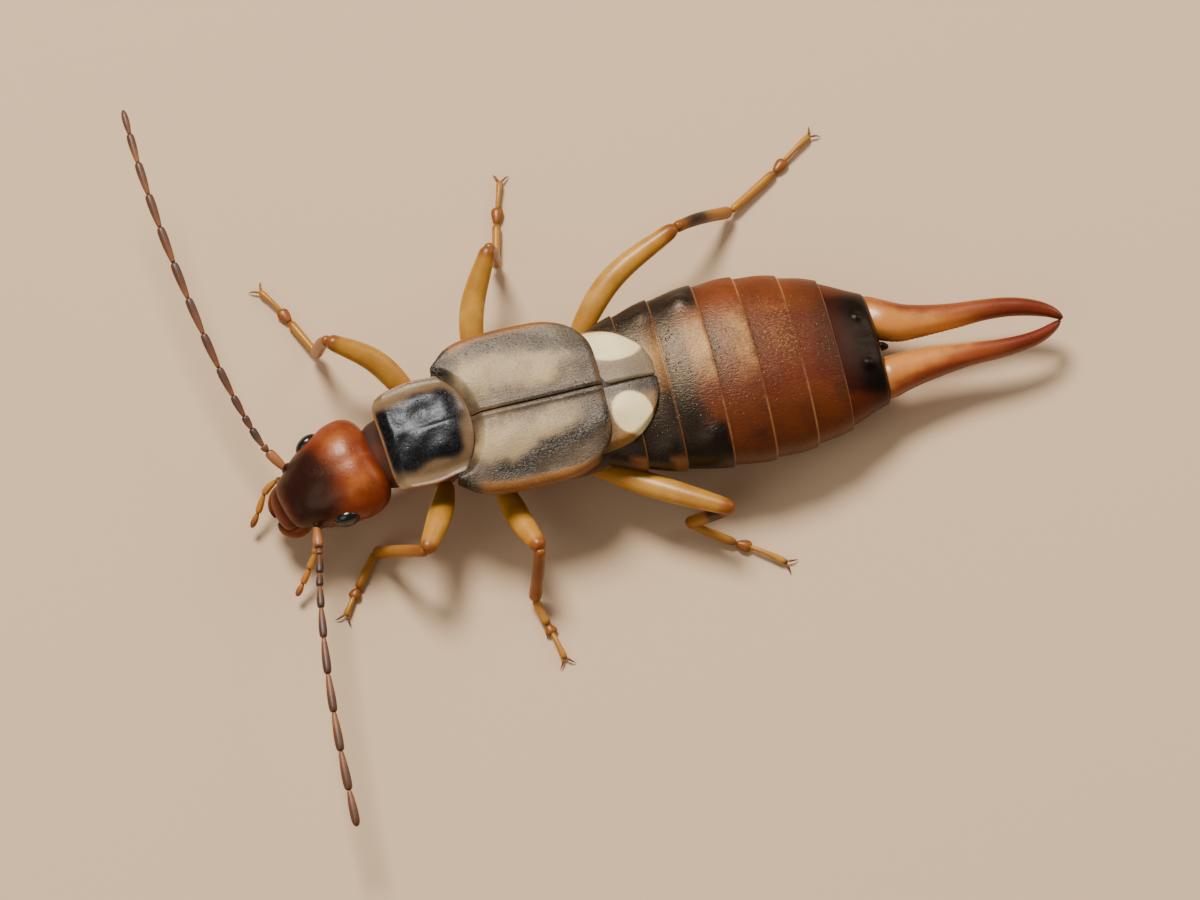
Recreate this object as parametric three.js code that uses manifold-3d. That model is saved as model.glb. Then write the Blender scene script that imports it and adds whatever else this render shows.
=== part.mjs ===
// A winged female earwig at life size, standing with its head turned a little to its left.
// Millimetres, +Z up. The head points to -X, its right side is +Y, and the feet stand on z = 0.
import * as THREE from "three";
import { mergeVertices } from "three/addons/utils/BufferGeometryUtils.js";
import Module from "manifold-3d";

const wasm = await Module();
wasm.setup();

// Driving sizes
const GAP = 0.12; // left between neighbouring pieces
const EYE_GAP = 0.07; // left round an eye, which sits in the head
const FINEST = 0.004; // edges shorter than this are joined up after a cut
const WELD = 1e-4; // corners closer than this are one corner
const UP = new THREE.Vector3(0, 0, 1);
const SIDES = { right: 1, left: -1 };
const ORIGIN = [3.531, 0.17]; // middle of the model's box in x and y, from the pronotum's rear edge

const colours = {
  amber: [0xd08a2c, 0.35],
  chestnut: [0x8a3413, 0.3],
  redHead: [0x9c3f16, 0.28],
  eyeBlack: [0x16181a, 0.2],
  feeler: [0x7d4a26, 0.5],
  smoky: [0x4a3a2c, 0.4],
  horn: [0xb8561c, 0.25],
  belly: [0x8c5a26, 0.45],
};
const materials = Object.fromEntries(
  Object.entries(colours).map(([name, [color, roughness]]) => [
    name,
    new THREE.MeshStandardMaterial({ name, color, roughness, metalness: 0 }),
  ]),
);

const point = ([x, y, z]) => new THREE.Vector3(x, y, z);
const curve = (places) => new THREE.CatmullRomCurve3(places.map(point), false, "centripetal");
const bend = (value, power) => Math.sign(value) * Math.abs(value) ** power;

// A place on the line from a to b: a share of the way along it, or a distance past its end.
const between = (a, b, share, lift = 0) => [
  THREE.MathUtils.lerp(a[0], b[0], share),
  THREE.MathUtils.lerp(a[1], b[1], share),
  THREE.MathUtils.lerp(a[2], b[2], share) + lift,
];
const past = (a, b, extra) =>
  point(b).sub(point(a)).normalize().multiplyScalar(extra).add(point(b)).toArray();

// The value at s of a table of [s, value] rows, on a straight line from row to row.
function along(table, s) {
  const next = table.findIndex(([place]) => place >= s);
  if (next === 0) return table[0][1];
  if (next < 0) return table.at(-1)[1];
  const [[s0, v0], [s1, v1]] = [table[next - 1], table[next]];
  return v0 + (v1 - v0) * ((s - s0) / (s1 - s0));
}

// Solids and their joins

function solidOf(geometry) {
  const bare = geometry.clone();
  bare.deleteAttribute("normal");
  bare.deleteAttribute("uv");
  const merged = mergeVertices(bare, WELD);
  const triVerts = new Uint32Array(merged.index.array);
  const vertProperties = merged.attributes.position.array;
  const mesh = () => new wasm.Mesh({ numProp: 3, vertProperties, triVerts, tolerance: FINEST });
  const make = () => new wasm.Manifold(mesh());
  const made = make();
  if (made.volume() > 0) return made;
  for (let i = 0; i < triVerts.length; i += 3) {
    [triVerts[i + 1], triVerts[i + 2]] = [triVerts[i + 2], triVerts[i + 1]];
  }
  return make();
}

function geometryOf(solid) {
  const { numProp, numVert, vertProperties, triVerts } = solid.getMesh();
  const places = new Float32Array(numVert * 3);
  for (let i = 0; i < numVert; i++) {
    places.set(vertProperties.subarray(i * numProp, i * numProp + 3), i * 3);
  }
  const geometry = new THREE.BufferGeometry();
  geometry.setAttribute("position", new THREE.BufferAttribute(places, 3));
  geometry.setIndex(new THREE.BufferAttribute(triVerts, 1));
  return geometry;
}

// The solid with every face moved out by the gap, to cut a neighbour clear of it.
function grown(solid, distance = GAP) {
  const geometry = geometryOf(solid);
  geometry.computeVertexNormals();
  const { position, normal } = geometry.attributes;
  for (let i = 0; i < position.count; i++) {
    position.setXYZ(
      i,
      position.getX(i) + normal.getX(i) * distance,
      position.getY(i) + normal.getY(i) * distance,
      position.getZ(i) + normal.getZ(i) * distance,
    );
  }
  return solidOf(geometry);
}

const joined = (...solids) => solids.reduce((all, next) => all.add(next));
const cutBy = (solid, ...tools) => tools.reduce((left, tool) => left.subtract(tool), solid);
const placed = (solid, matrix) => solid.transform(matrix.elements);
const largest = (solid) =>
  solid.decompose().reduce((best, next) => (next.volume() > best.volume() ? next : best));

// Shapes

// Half-width, reach up and reach down of each ring are [t, wide, top, bottom]; t runs along the path.
function loft(path, rings, sides, { up = UP, square = 1 } = {}) {
  const last = rings.length + 1;
  const profile = Array.from({ length: last + 1 }, (_, row) => {
    return new THREE.Vector2(row === 0 || row === last ? 0 : 1, row);
  });
  const geometry = new THREE.LatheGeometry(profile, sides);
  const frames = [rings[0], ...rings, rings.at(-1)].map(([t, wide, top = wide, bottom = top]) => {
    const ahead = path.getTangentAt(t);
    const lift = up.clone().addScaledVector(ahead, -up.dot(ahead)).normalize();
    const side = new THREE.Vector3().crossVectors(lift, ahead);
    return { centre: path.getPointAt(t), side, lift, wide, top, bottom };
  });
  const { position } = geometry.attributes;
  const vertex = new THREE.Vector3();
  for (let i = 0; i < position.count; i++) {
    const { centre, side, lift, wide, top, bottom } = frames[i % profile.length];
    const across = bend(position.getX(i), square);
    const upward = bend(position.getZ(i), square);
    vertex.copy(centre).addScaledVector(side, wide * across);
    vertex.addScaledVector(lift, (upward > 0 ? top : bottom) * upward);
    position.setXYZ(i, vertex.x, vertex.y, vertex.z);
  }
  return solidOf(geometry);
}

// A round bar that swells and thins along a path: radii are [t, radius] rows.
const bar = (places, radii, sides, options) =>
  loft(curve(places), radii.map(([t, radius, tall = radius]) => [t, radius, tall]), sides, options);

// A closed plate. shape(u, v) gives x, y and the heights of its two faces, for u and v from -1 to 1.
function plate(lengthCells, widthCells, shape) {
  const geometry = new THREE.BoxGeometry(2, 2, 2, lengthCells, widthCells, 1);
  const { position } = geometry.attributes;
  for (let i = 0; i < position.count; i++) {
    const { x, y, top, bottom } = shape(position.getX(i), position.getY(i));
    position.setXYZ(i, x, y, position.getZ(i) > 0 ? top : bottom);
  }
  return solidOf(geometry);
}

function ellipsoid(centre, radii, acrossCells, downCells) {
  const ball = new THREE.SphereGeometry(1, acrossCells, downCells);
  ball.scale(...radii).translate(...centre);
  return solidOf(ball);
}

// Pronotum: a nearly square shield with a rounded rear edge

const pronotum = {
  front: -1.86,
  frontHalf: 1.04,
  rearHalf: 1.22,
  rearBulge: 0.44,
  rearPinch: 0.1,
  thick: 0.5,
  cornerRound: 0.16,
  discTop: 2.3,
  rise: 0.14,
  marginDrop: 0.2,
  yaw: THREE.MathUtils.degToRad(4.5),
};

// The pronotum's rear edge at y, before and after its small turn to the left.
const rearEdge = (y) => {
  const reach = pronotum.rearHalf * (1 - pronotum.rearPinch);
  return 0.04 - pronotum.rearBulge * Math.abs(y / reach) ** 2.4;
};
const rearEdgeTurned = (y) => rearEdge(y) - y * Math.sin(pronotum.yaw);

function pronotumSolid() {
  const p = pronotum;
  const shape = (u, v) => {
    const run = (u + 1) / 2;
    const half = THREE.MathUtils.lerp(p.frontHalf, p.rearHalf, run ** 0.6);
    const front = p.front + p.cornerRound * Math.abs(v) ** 6;
    const rear = rearEdge(v * p.rearHalf * (1 - p.rearPinch));
    const pinch = 1 - p.rearPinch * THREE.MathUtils.smoothstep(run, 0.5, 1);
    const top = p.discTop + p.rise * run - p.marginDrop * Math.abs(v) ** 2.5;
    return { x: THREE.MathUtils.lerp(front, rear, run), y: half * v * pinch, top, bottom: top - p.thick };
  };
  return placed(plate(10, 12, shape), new THREE.Matrix4().makeRotationZ(p.yaw));
}

// Wing covers (tegmina), and the folded hind wings that show behind them

const tegmen = {
  seam: 0.06,
  shoulder: -0.46,
  rear: 2.86,
  rearRound: 0.34,
  thick: 0.52,
  seamTop: 2.5,
  halfWidth: [
    [-1, 1.36],
    [-0.85, 1.58],
    [-0.6, 1.72],
    [-0.2, 1.77],
    [0.55, 1.76],
    [0.8, 1.66],
    [1, 1.44],
  ],
};
const tegmenRear = (out) => tegmen.rear - tegmen.rearRound * out ** 6;

function tegmenSolid(side) {
  const t = tegmen;
  const shape = (u, v) => {
    const out = (v + 1) / 2;
    const half = along(t.halfWidth, u);
    const y = side * THREE.MathUtils.lerp(t.seam, half, out);
    const front = Math.max(t.shoulder, rearEdgeTurned(y) + GAP);
    const top = t.seamTop + 0.03 * u - 0.16 * out ** 2 - 0.36 * out ** 7;
    return {
      x: THREE.MathUtils.lerp(front, tegmenRear(out), (u + 1) / 2),
      y,
      top,
      bottom: top - t.thick * (1 - 0.5 * out ** 6),
    };
  };
  return plate(12, 9, shape);
}

const wing = {
  tip: 4.06,
  thick: 0.5,
  top: 2.5,
  halfWidth: [
    [-1, 1.3],
    [-0.4, 1.32],
    [0.1, 1.24],
    [0.5, 1.04],
    [0.8, 0.8],
    [1, 0.56],
  ],
};

function wingSolid(side) {
  const w = wing;
  const shape = (u, v) => {
    const out = (v + 1) / 2;
    const half = along(w.halfWidth, u);
    const root = tegmenRear((out * half) / tegmen.halfWidth.at(-1)[1]) + GAP;
    const top = w.top - 0.05 * (u + 1) - 0.14 * out ** 2 - 0.22 * out ** 6;
    return {
      x: THREE.MathUtils.lerp(root, w.tip - 0.12 * out ** 3, (u + 1) / 2),
      y: side * THREE.MathUtils.lerp(tegmen.seam, half, out),
      top,
      bottom: top - w.thick,
    };
  };
  return plate(8, 7, shape);
}

// Thorax and abdomen: rings along X, each [x, centre height, half-width, reach up, reach down]

function trunk(rings, sides, drift = () => 0) {
  const first = rings[0][0];
  const length = rings.at(-1)[0] - first;
  const line = new THREE.LineCurve3(point([first, 0, 0]), point([first + length, 0, 0]));
  const rows = rings.map(([x, , half, top, bottom]) => [(x - first) / length, half, top, bottom]);
  const shaped = geometryOf(loft(line, rows, sides, { square: 0.92 }));
  const heights = rings.map(([x, height]) => [x, height]);
  const { position } = shaped.attributes;
  for (let i = 0; i < position.count; i++) {
    const x = position.getX(i);
    position.setY(i, position.getY(i) + drift(x));
    position.setZ(i, position.getZ(i) + along(heights, x));
  }
  return solidOf(shaped);
}

const prothoraxRings = [
  [-1.66, 1.34, 0.46, 0.28, 0.3],
  [-1.5, 1.32, 0.66, 0.32, 0.42],
  [-1.0, 1.3, 0.84, 0.34, 0.5],
  [-0.45, 1.34, 0.9, 0.4, 0.55],
  [-0.14, 1.36, 0.84, 0.4, 0.5],
];
const thoraxRings = [
  [-0.02, 1.38, 0.9, 0.42, 0.5],
  [0.4, 1.4, 1.1, 0.44, 0.58],
  [1.2, 1.4, 1.28, 0.44, 0.62],
  [2.2, 1.4, 1.34, 0.44, 0.6],
  [2.78, 1.42, 1.26, 0.4, 0.54],
];

const abdomen = {
  start: 2.9,
  end: 7.86,
  edges: [3.5, 4.24, 5.22, 6.14, 7.08, 7.86], // rear edge of each ring plate
  step: 0.05, // how far each plate stands over the next
  lip: 0.05, // length of that step's slope
  sides: 28,
  centre: [
    [2.9, 1.58],
    [5.2, 1.5],
    [7.1, 1.33],
    [8.9, 1.14],
  ],
  half: [
    [2.9, 1.42],
    [3.5, 1.68],
    [4.2, 1.84],
    [5.2, 1.96],
    [6.1, 1.98],
    [7.0, 1.86],
    [7.86, 1.62],
    [8.5, 1.36],
    [8.86, 1.2],
  ],
  up: [
    [2.9, 0.6],
    [4.0, 0.74],
    [4.3, 0.86],
    [6.1, 0.92],
    [7.0, 0.88],
    [7.86, 0.78],
    [8.86, 0.6],
  ],
  down: [
    [2.9, 0.62],
    [4.2, 0.78],
    [6.1, 0.84],
    [7.0, 0.76],
    [7.86, 0.64],
    [8.86, 0.48],
  ],
};

// The abdomen bends a little to the left behind its fourth ring plate.
const tailBend = { from: 5, amount: 0.02, power: 1.2 };
const tailDrift = (x) => -tailBend.amount * Math.max(0, x - tailBend.from) ** tailBend.power;

function abdomenRing(x, extra) {
  const a = abdomen;
  return [x, along(a.centre, x), along(a.half, x) + extra, along(a.up, x) + extra, along(a.down, x) + extra];
}

function abdomenSolid() {
  const { start, edges, step, lip, sides } = abdomen;
  const rings = [abdomenRing(start, 0)];
  let from = start;
  for (const edge of edges) {
    rings.push(abdomenRing((from + edge) / 2, step * 0.6));
    rings.push(abdomenRing(edge - lip, step));
    if (edge < edges.at(-1)) rings.push(abdomenRing(edge, 0));
    from = edge;
  }
  return trunk(rings, sides, tailDrift);
}

const lastPlate = {
  start: abdomen.end + GAP,
  rear: 8.84,
  lip: 0.1,
  frontStep: 0.04,
  rearStep: 0.08,
  knob: 0.13,
  knobX: 8.5,
  knobY: 0.52,
  knobSink: 0.16, // share of the plate's height by which a knob's middle lies below its crest
};
const stud = { height: 1.16, radii: [0.16, 0.1, 0.12] };

function lastPlateSolid() {
  const { start, rear, lip, frontStep, rearStep, knob, knobX, knobY, knobSink } = lastPlate;
  const middle = (start + rear) / 2;
  const rings = [
    abdomenRing(start, -frontStep),
    abdomenRing(middle, 0),
    abdomenRing(rear - lip, 0),
    abdomenRing(rear, -rearStep),
  ];
  const shell = trunk(rings, abdomen.sides, tailDrift);
  const top = along(abdomen.centre, knobX) + along(abdomen.up, knobX) * (1 - knobSink);
  const knobs = Object.values(SIDES).map((side) =>
    ellipsoid([knobX, side * knobY + tailDrift(knobX), top], [knob * 1.3, knob, knob], 8, 6),
  );
  const studSolid = ellipsoid([rear, tailDrift(rear), stud.height], stud.radii, 8, 6);
  return joined(shell, ...knobs, studSolid);
}

// Forceps: each arm is [x, y, half-width, half-height]

const FORK = lastPlate.rear + GAP;
const forcepsHeight = [
  [8.7, 1.1],
  [12.9, 1.02],
];
const forceps = {
  right: [
    [FORK, 0.58, 0.47, 0.34],
    [9.16, 0.48, 0.49, 0.34],
    [9.45, 0.38, 0.44, 0.32],
    [9.96, 0.3, 0.36, 0.29],
    [10.6, 0.25, 0.28, 0.26],
    [11.25, 0.24, 0.235, 0.24],
    [11.8, 0.17, 0.21, 0.23],
    [12.25, 0.03, 0.18, 0.21],
    [12.55, -0.1, 0.14, 0.17],
    [12.7, -0.2, 0.07, 0.09],
  ],
  left: [
    [FORK, -0.82, 0.41, 0.34],
    [9.16, -0.74, 0.43, 0.34],
    [9.5, -0.7, 0.41, 0.32],
    [10.1, -0.67, 0.34, 0.29],
    [10.7, -0.66, 0.27, 0.26],
    [11.3, -0.68, 0.22, 0.24],
    [11.8, -0.68, 0.19, 0.23],
    [12.25, -0.6, 0.17, 0.21],
    [12.58, -0.47, 0.14, 0.17],
    [12.76, -0.36, 0.07, 0.09],
  ],
};

function forcepsSolid(stations) {
  const path = curve(stations.map(([x, y]) => [x, y, along(forcepsHeight, x)]));
  const far = stations.length - 1;
  const rows = stations.map(([, , wide, tall], i) => {
    return [pathShare(path, i / far), wide, tall];
  });
  return loft(path, rows, 12);
}

// The share of a path's length at its parameter t.
function pathShare(path, t) {
  const steps = 200;
  const lengths = path.getLengths(steps);
  return lengths[Math.round(t * steps)] / lengths[steps];
}

// Head: rings from its rear to its front in its own frame, +X forward, +Y its left, +Z up

const head = {
  place: [-3.02, -0.42, 1.5],
  turn: THREE.MathUtils.degToRad(14.5),
  nod: THREE.MathUtils.degToRad(13),
  rings: [
    [-1.04, 0.62, 0.26, 0.22],
    [-0.98, 0.84, 0.42, 0.36],
    [-0.82, 1.0, 0.54, 0.48],
    [-0.5, 1.09, 0.64, 0.56],
    [-0.1, 1.07, 0.68, 0.58],
    [0.3, 0.97, 0.64, 0.56],
    [0.62, 0.82, 0.54, 0.5],
    [0.86, 0.66, 0.42, 0.42],
    [1.02, 0.52, 0.3, 0.34],
    [1.12, 0.38, 0.18, 0.24],
  ],
  notch: 0.1,
  notchWidth: 0.36,
};
const headMatrix = new THREE.Matrix4()
  .makeTranslation(...head.place)
  .multiply(new THREE.Matrix4().makeRotationZ(Math.PI + head.turn))
  .multiply(new THREE.Matrix4().makeRotationY(head.nod));

const eye = { at: [0.1, 0.92, 0.1], radii: [0.25, 0.18, 0.22] };
const socket = { at: [0.68, 0.66, 0.06], radii: [0.2, 0.2, 0.18] };

const eyeSolid = (side) =>
  ellipsoid([eye.at[0], -side * eye.at[1], eye.at[2]], eye.radii, 14, 10);

function headShell() {
  const [first, last] = [head.rings[0][0], head.rings.at(-1)[0]];
  const line = new THREE.LineCurve3(point([first, 0, 0]), point([last, 0, 0]));
  const rows = head.rings.map(([x, ...reach]) => [(x - first) / (last - first), ...reach]);
  const shaped = geometryOf(loft(line, rows, 26));
  const { position } = shaped.attributes;
  for (let i = 0; i < position.count; i++) {
    const x = position.getX(i);
    const rear = THREE.MathUtils.smoothstep(-x, 0.4, 1.0);
    position.setX(i, x + head.notch * rear * Math.exp(-((position.getY(i) / head.notchWidth) ** 2)));
  }
  const rims = Object.values(SIDES).map((side) =>
    ellipsoid([socket.at[0], side * socket.at[1], socket.at[2]], socket.radii, 10, 8),
  );
  return joined(solidOf(shaped), ...rims);
}

const labrum = { at: [1.34, 0, -0.13], radii: [0.24, 0.36, 0.19] };
const mandible = {
  path: [
    [0.95, 0.3, -0.42],
    [1.28, 0.33, -0.5],
    [1.5, 0.12, -0.56],
  ],
  radii: [
    [0, 0.16, 0.14],
    [0.4, 0.17, 0.15],
    [0.8, 0.12, 0.12],
    [1, 0.05, 0.05],
  ],
};

const mandibleSolid = (side) =>
  bar(mandible.path.map(([x, y, z]) => [x, -side * y, z]), mandible.radii, 8);

const NECK_SHIFT = -0.1; // the neck lies a little to the left, towards the turned head
const neckRings = [
  [-2.3, 1.42, 0.44, 0.3, 0.32],
  [-2.0, 1.4, 0.5, 0.28, 0.34],
  [-1.78, 1.38, 0.52, 0.28, 0.34],
];

// Feelers: beads along a curve. The left feeler has lost its last three beads, as in life.

const beadLengths = [
  0.56, 0.16, 0.43, 0.3, 0.48, 0.66, 0.78,
  0.81, 0.81, 0.81, 0.75, 0.73, 0.66, 0.56,
];
const bead = { radius: 0.25, waist: 0.17, tipRadius: 0.17, rootRadius: 0.19, thinning: 3 };
const feelers = {
  right: {
    count: 14,
    path: [
      [-4.26, 0.62, 1.56],
      [-4.46, 1.14, 1.68],
      [-4.74, 2.1, 1.94],
      [-5.0, 3.3, 2.24],
      [-5.3, 5.1, 2.58],
      [-5.5, 6.9, 2.82],
      [-5.57, 8.24, 2.9],
    ],
  },
  left: {
    count: 11,
    path: [
      [-3.66, -2.02, 1.56],
      [-3.8, -2.74, 1.7],
      [-4.02, -4.4, 1.86],
      [-4.14, -6.2, 1.84],
      [-4.17, -7.9, 1.7],
    ],
  },
};

// The first bead starts a gap off the rim of its socket on the head.
function feelerRoot(side, [next]) {
  const rim = new THREE.Vector3(socket.at[0], -side * socket.at[1], socket.at[2]).applyMatrix4(headMatrix);
  return past(next, rim.toArray(), -socket.radii[0] - GAP);
}

function feelerSolid(side, { count, path }) {
  const lengths = beadLengths.slice(0, count);
  const total = lengths.reduce((sum, length) => sum + length);
  const rows = [];
  let gone = 0;
  lengths.forEach((length, i) => {
    const from = gone / total;
    const to = (gone + length) / total;
    const thinned = Math.max(0, i + 1 + bead.thinning - count) / bead.thinning;
    const radius = THREE.MathUtils.lerp(bead.radius, bead.tipRadius, thinned);
    rows.push([THREE.MathUtils.lerp(from, to, 0.04), Math.min(bead.waist, radius * 0.7)]);
    rows.push([THREE.MathUtils.lerp(from, to, 0.4), radius * 0.94]);
    rows.push([THREE.MathUtils.lerp(from, to, 0.75), radius]);
    gone += length;
  });
  rows.push([1, bead.tipRadius * 0.4]);
  rows[0] = [0, bead.rootRadius];
  return bar([feelerRoot(side, path), ...path], rows, 8);
}

const palps = {
  right: [
    [-3.74, -0.14, 1.0],
    [-4.12, 0.04, 0.92],
    [-4.42, -0.04, 0.76],
    [-4.66, -0.36, 0.54],
    [-4.88, -0.64, 0.36],
  ],
  left: [
    [-3.52, -1.28, 0.9],
    [-3.66, -1.62, 0.8],
    [-3.86, -1.86, 0.64],
    [-4.08, -2.08, 0.48],
    [-4.28, -2.34, 0.34],
  ],
};
const palpRadii = [
  [0, 0.2],
  [0.25, 0.22],
  [0.3, 0.18],
  [0.5, 0.23],
  [0.56, 0.18],
  [0.72, 0.23],
  [0.78, 0.17],
  [0.92, 0.21],
  [1, 0.08],
];

// Legs: each joint in turn from the hip to the last claw joint. The feet end at one level.

const FOOT = 0.14; // height of a foot's middle line over the floor
const legs = {
  front_right: {
    hip: [-0.8, 0.4, 1.1],
    socket: [-0.86, 1.0, 0.92],
    thigh: [-1.56, 1.96, 1.48],
    knee: [-2.48, 2.54, 1.86],
    ankle: [-2.7, 2.94, 0.26],
    heel: [-3.1, 3.82],
    sole: [-3.24, 4.14],
    claw: [-3.58, 4.67],
  },
  front_left: {
    hip: [-0.8, -0.4, 1.1],
    socket: [-0.66, -0.92, 0.94],
    thigh: [-1.04, -1.74, 1.54],
    knee: [-1.5, -2.56, 1.9],
    ankle: [-2.46, -1.74, 0.28],
    heel: [-3.0, -2.41],
    sole: [-3.14, -2.6],
    claw: [-3.37, -2.93],
  },
  middle_right: {
    hip: [0.42, 0.6, 1.05],
    socket: [0.44, 1.4, 0.88],
    thigh: [0.66, 2.62, 1.38],
    knee: [1.33, 3.82, 1.85],
    ankle: [1.5, 4.04, 0.26],
    heel: [1.73, 4.99],
    sole: [1.84, 5.36],
    claw: [2.03, 5.95],
  },
  middle_left: {
    hip: [0.36, -0.6, 1.05],
    socket: [0.42, -1.2, 0.88],
    thigh: [0.58, -2.1, 1.36],
    knee: [0.84, -3.0, 1.75],
    ankle: [0.56, -3.54, 0.28],
    heel: [0.7, -4.13],
    sole: [0.76, -4.35],
    claw: [0.88, -4.93],
  },
  hind_right: {
    hip: [2.0, 0.6, 1.1],
    socket: [2.42, 1.34, 0.9],
    thigh: [3.66, 2.62, 1.38],
    knee: [5.33, 3.43, 1.6],
    ankle: [6.68, 4.03, 0.28],
    heel: [7.87, 4.76],
    sole: [8.15, 4.98],
    claw: [8.82, 5.42],
  },
  hind_left: {
    hip: [2.0, -0.6, 1.1],
    socket: [2.34, -1.24, 0.88],
    thigh: [3.6, -2.1, 1.26],
    knee: [5.0, -2.98, 1.42],
    ankle: [4.08, -2.66, 0.28],
    heel: [4.99, -3.3],
    sole: [5.28, -3.46],
    claw: [5.93, -3.97],
  },
};

// Thickness of each leg segment: [share of its length, half-width, half-height where it differs]
const legRadii = {
  coxa: [[0, 0.42], [0.5, 0.36], [1, 0.25]],
  femur: [[0, 0.18], [0.12, 0.23], [0.35, 0.29], [0.65, 0.28], [0.88, 0.25], [0.96, 0.22], [1, 0.12]],
  shin: [[0, 0.16], [0.12, 0.22], [0.5, 0.24], [0.9, 0.24], [1, 0.16]],
  foot: [[0, 0.16], [0.15, 0.21], [0.8, 0.21], [1, 0.16]],
  pad: [[0, 0.16], [0.4, 0.24, 0.2], [1, 0.16]],
  toe: [[0, 0.14], [0.3, 0.18], [0.85, 0.19], [1, 0.13]],
  claw: [[0, 0.12], [0.5, 0.1], [1, 0.06]],
};
const clawShape = { sunk: 0.08, reach: 0.16, spread: 0.14, tipReach: 0.1, tipSpread: 0.1, tipHeight: 0.07 };

function clawSolids(sole, claw) {
  const { sunk, reach, spread, tipReach, tipSpread, tipHeight } = clawShape;
  const ahead = point(claw).sub(point(sole)).setLength(1);
  const aside = new THREE.Vector3().crossVectors(ahead, UP).normalize();
  return Object.values(SIDES).map((side) => {
    const root = point(claw).addScaledVector(ahead, -sunk);
    const elbow = root.clone().addScaledVector(ahead, reach).addScaledVector(aside, side * spread);
    const tip = elbow.clone().addScaledVector(ahead, tipReach).addScaledVector(aside, side * tipSpread);
    tip.setZ(tipHeight);
    return bar([root.toArray(), elbow.toArray(), tip.toArray()], legRadii.claw, 5);
  });
}

function legSolid({ hip, socket: trochanter, thigh, knee, ankle, heel, sole, claw }) {
  const level = ([x, y]) => [x, y, FOOT];
  const [heelAt, soleAt, clawAt] = [heel, sole, claw].map(level);
  const outward = point([knee[0] - hip[0], knee[1] - hip[1], 0]).normalize();
  const lyingBack = Math.abs(outward.x) > 0.9; // a hind thigh that lies nearly along the body
  const coxa = bar([hip, between(hip, trochanter, 0.5, -0.04), trochanter], legRadii.coxa, 8);
  const femur = bar(
    [between(hip, trochanter, 0.8), thigh, knee, past(thigh, knee, 0.12)],
    legRadii.femur,
    8,
    { up: lyingBack ? new THREE.Vector3(0, 1, 0) : UP },
  );
  const shin = bar(
    [knee, between(knee, ankle, 0.3, 0.06), ankle, past(knee, ankle, 0.04)],
    legRadii.shin,
    8,
    { up: outward },
  );
  const foot = bar([ankle, between(ankle, heelAt, 0.5), heelAt], legRadii.foot, 7);
  const pad = bar([between(ankle, heelAt, 0.94), soleAt], legRadii.pad, 7);
  const toe = bar([between(heelAt, soleAt, 0.8), clawAt], legRadii.toe, 7);
  const whole = joined(coxa, femur, shin, foot, pad, toe, ...clawSolids(soleAt, clawAt));
  const floor = solidOf(new THREE.BoxGeometry(40, 40, 4).translate(0, 0, -2));
  return cutBy(whole, floor);
}

// The parts, cut clear of what they meet where their own sizes don't already keep them apart

const eachSide = (make) =>
  Object.fromEntries(Object.entries(SIDES).map(([name, side]) => [name, make(side, name)]));

const pronotumPart = pronotumSolid();
const tegmina = eachSide(tegmenSolid);
const wings = eachSide(wingSolid);
const prothoraxPart = trunk(prothoraxRings, 18);
const thoraxPart = trunk(thoraxRings, 18);
const abdomenPart = cutBy(abdomenSolid(), ...Object.values(wings).map((solid) => grown(solid)));
const lastPlatePart = lastPlateSolid();

const eyes = eachSide(eyeSolid);
const headPart = cutBy(headShell(), ...Object.values(eyes).map((solid) => grown(solid, EYE_GAP)));
const headTool = grown(headShell());
const headToolPlaced = placed(headTool, headMatrix);
const labrumPart = cutBy(ellipsoid(labrum.at, labrum.radii, 12, 8), headTool);
const mandibles = eachSide((side) => cutBy(mandibleSolid(side), headTool, grown(labrumPart)));
const neckPart = cutBy(trunk(neckRings, 16, () => NECK_SHIFT), headToolPlaced);
const palpTools = Object.values(mandibles).map((solid) => placed(grown(solid), headMatrix));
const palpParts = eachSide((side, name) => {
  const whole = bar(palps[name], palpRadii, 8);
  return cutBy(whole, headToolPlaced, ...palpTools);
});
const trunkTools = [prothoraxPart, thoraxPart].map((solid) => grown(solid));

// The model

const earwig = new THREE.Group();
earwig.position.set(-ORIGIN[0], -ORIGIN[1], 0);
const headGroup = new THREE.Group();
headGroup.applyMatrix4(headMatrix);
earwig.add(headGroup);

function addNode(group, name, solid, material) {
  const mesh = new THREE.Mesh(geometryOf(largest(solid)), materials[material]);
  mesh.name = name;
  group.add(mesh);
}

addNode(headGroup, "head", headPart, "redHead");
addNode(headGroup, "labrum", labrumPart, "chestnut");
for (const [name, side] of Object.entries(SIDES)) {
  addNode(headGroup, `eye_${name}`, eyes[name], "eyeBlack");
  addNode(headGroup, `mandible_${name}`, mandibles[name], "chestnut");
  addNode(earwig, `antenna_${name}`, feelerSolid(side, feelers[name]), "feeler");
  addNode(earwig, `palp_${name}`, palpParts[name], "amber");
  addNode(earwig, `tegmen_${name}`, tegmina[name], "smoky");
  addNode(earwig, `wing_${name}`, wings[name], "smoky");
  addNode(earwig, `forceps_${name}`, forcepsSolid(forceps[name]), "horn");
}
addNode(earwig, "neck", neckPart, "belly");
addNode(earwig, "pronotum", pronotumPart, "smoky");
addNode(earwig, "prothorax", prothoraxPart, "belly");
addNode(earwig, "thorax", thoraxPart, "belly");
addNode(earwig, "abdomen", abdomenPart, "chestnut");
addNode(earwig, "last_plate", lastPlatePart, "chestnut");
for (const [name, joints] of Object.entries(legs)) {
  addNode(earwig, `leg_${name}`, cutBy(legSolid(joints), ...trunkTools), "amber");
}

export default earwig;
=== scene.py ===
# A winged female earwig, dressed over its solids. Shapes are worked out in millimetres from the
# middle of the pronotum's rear edge: the head points to -x, its right side is +y, the floor is z = 0.
import math
import random
from bisect import bisect_right

import bmesh
import bpy
from mathutils import Matrix, Vector, noise


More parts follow.
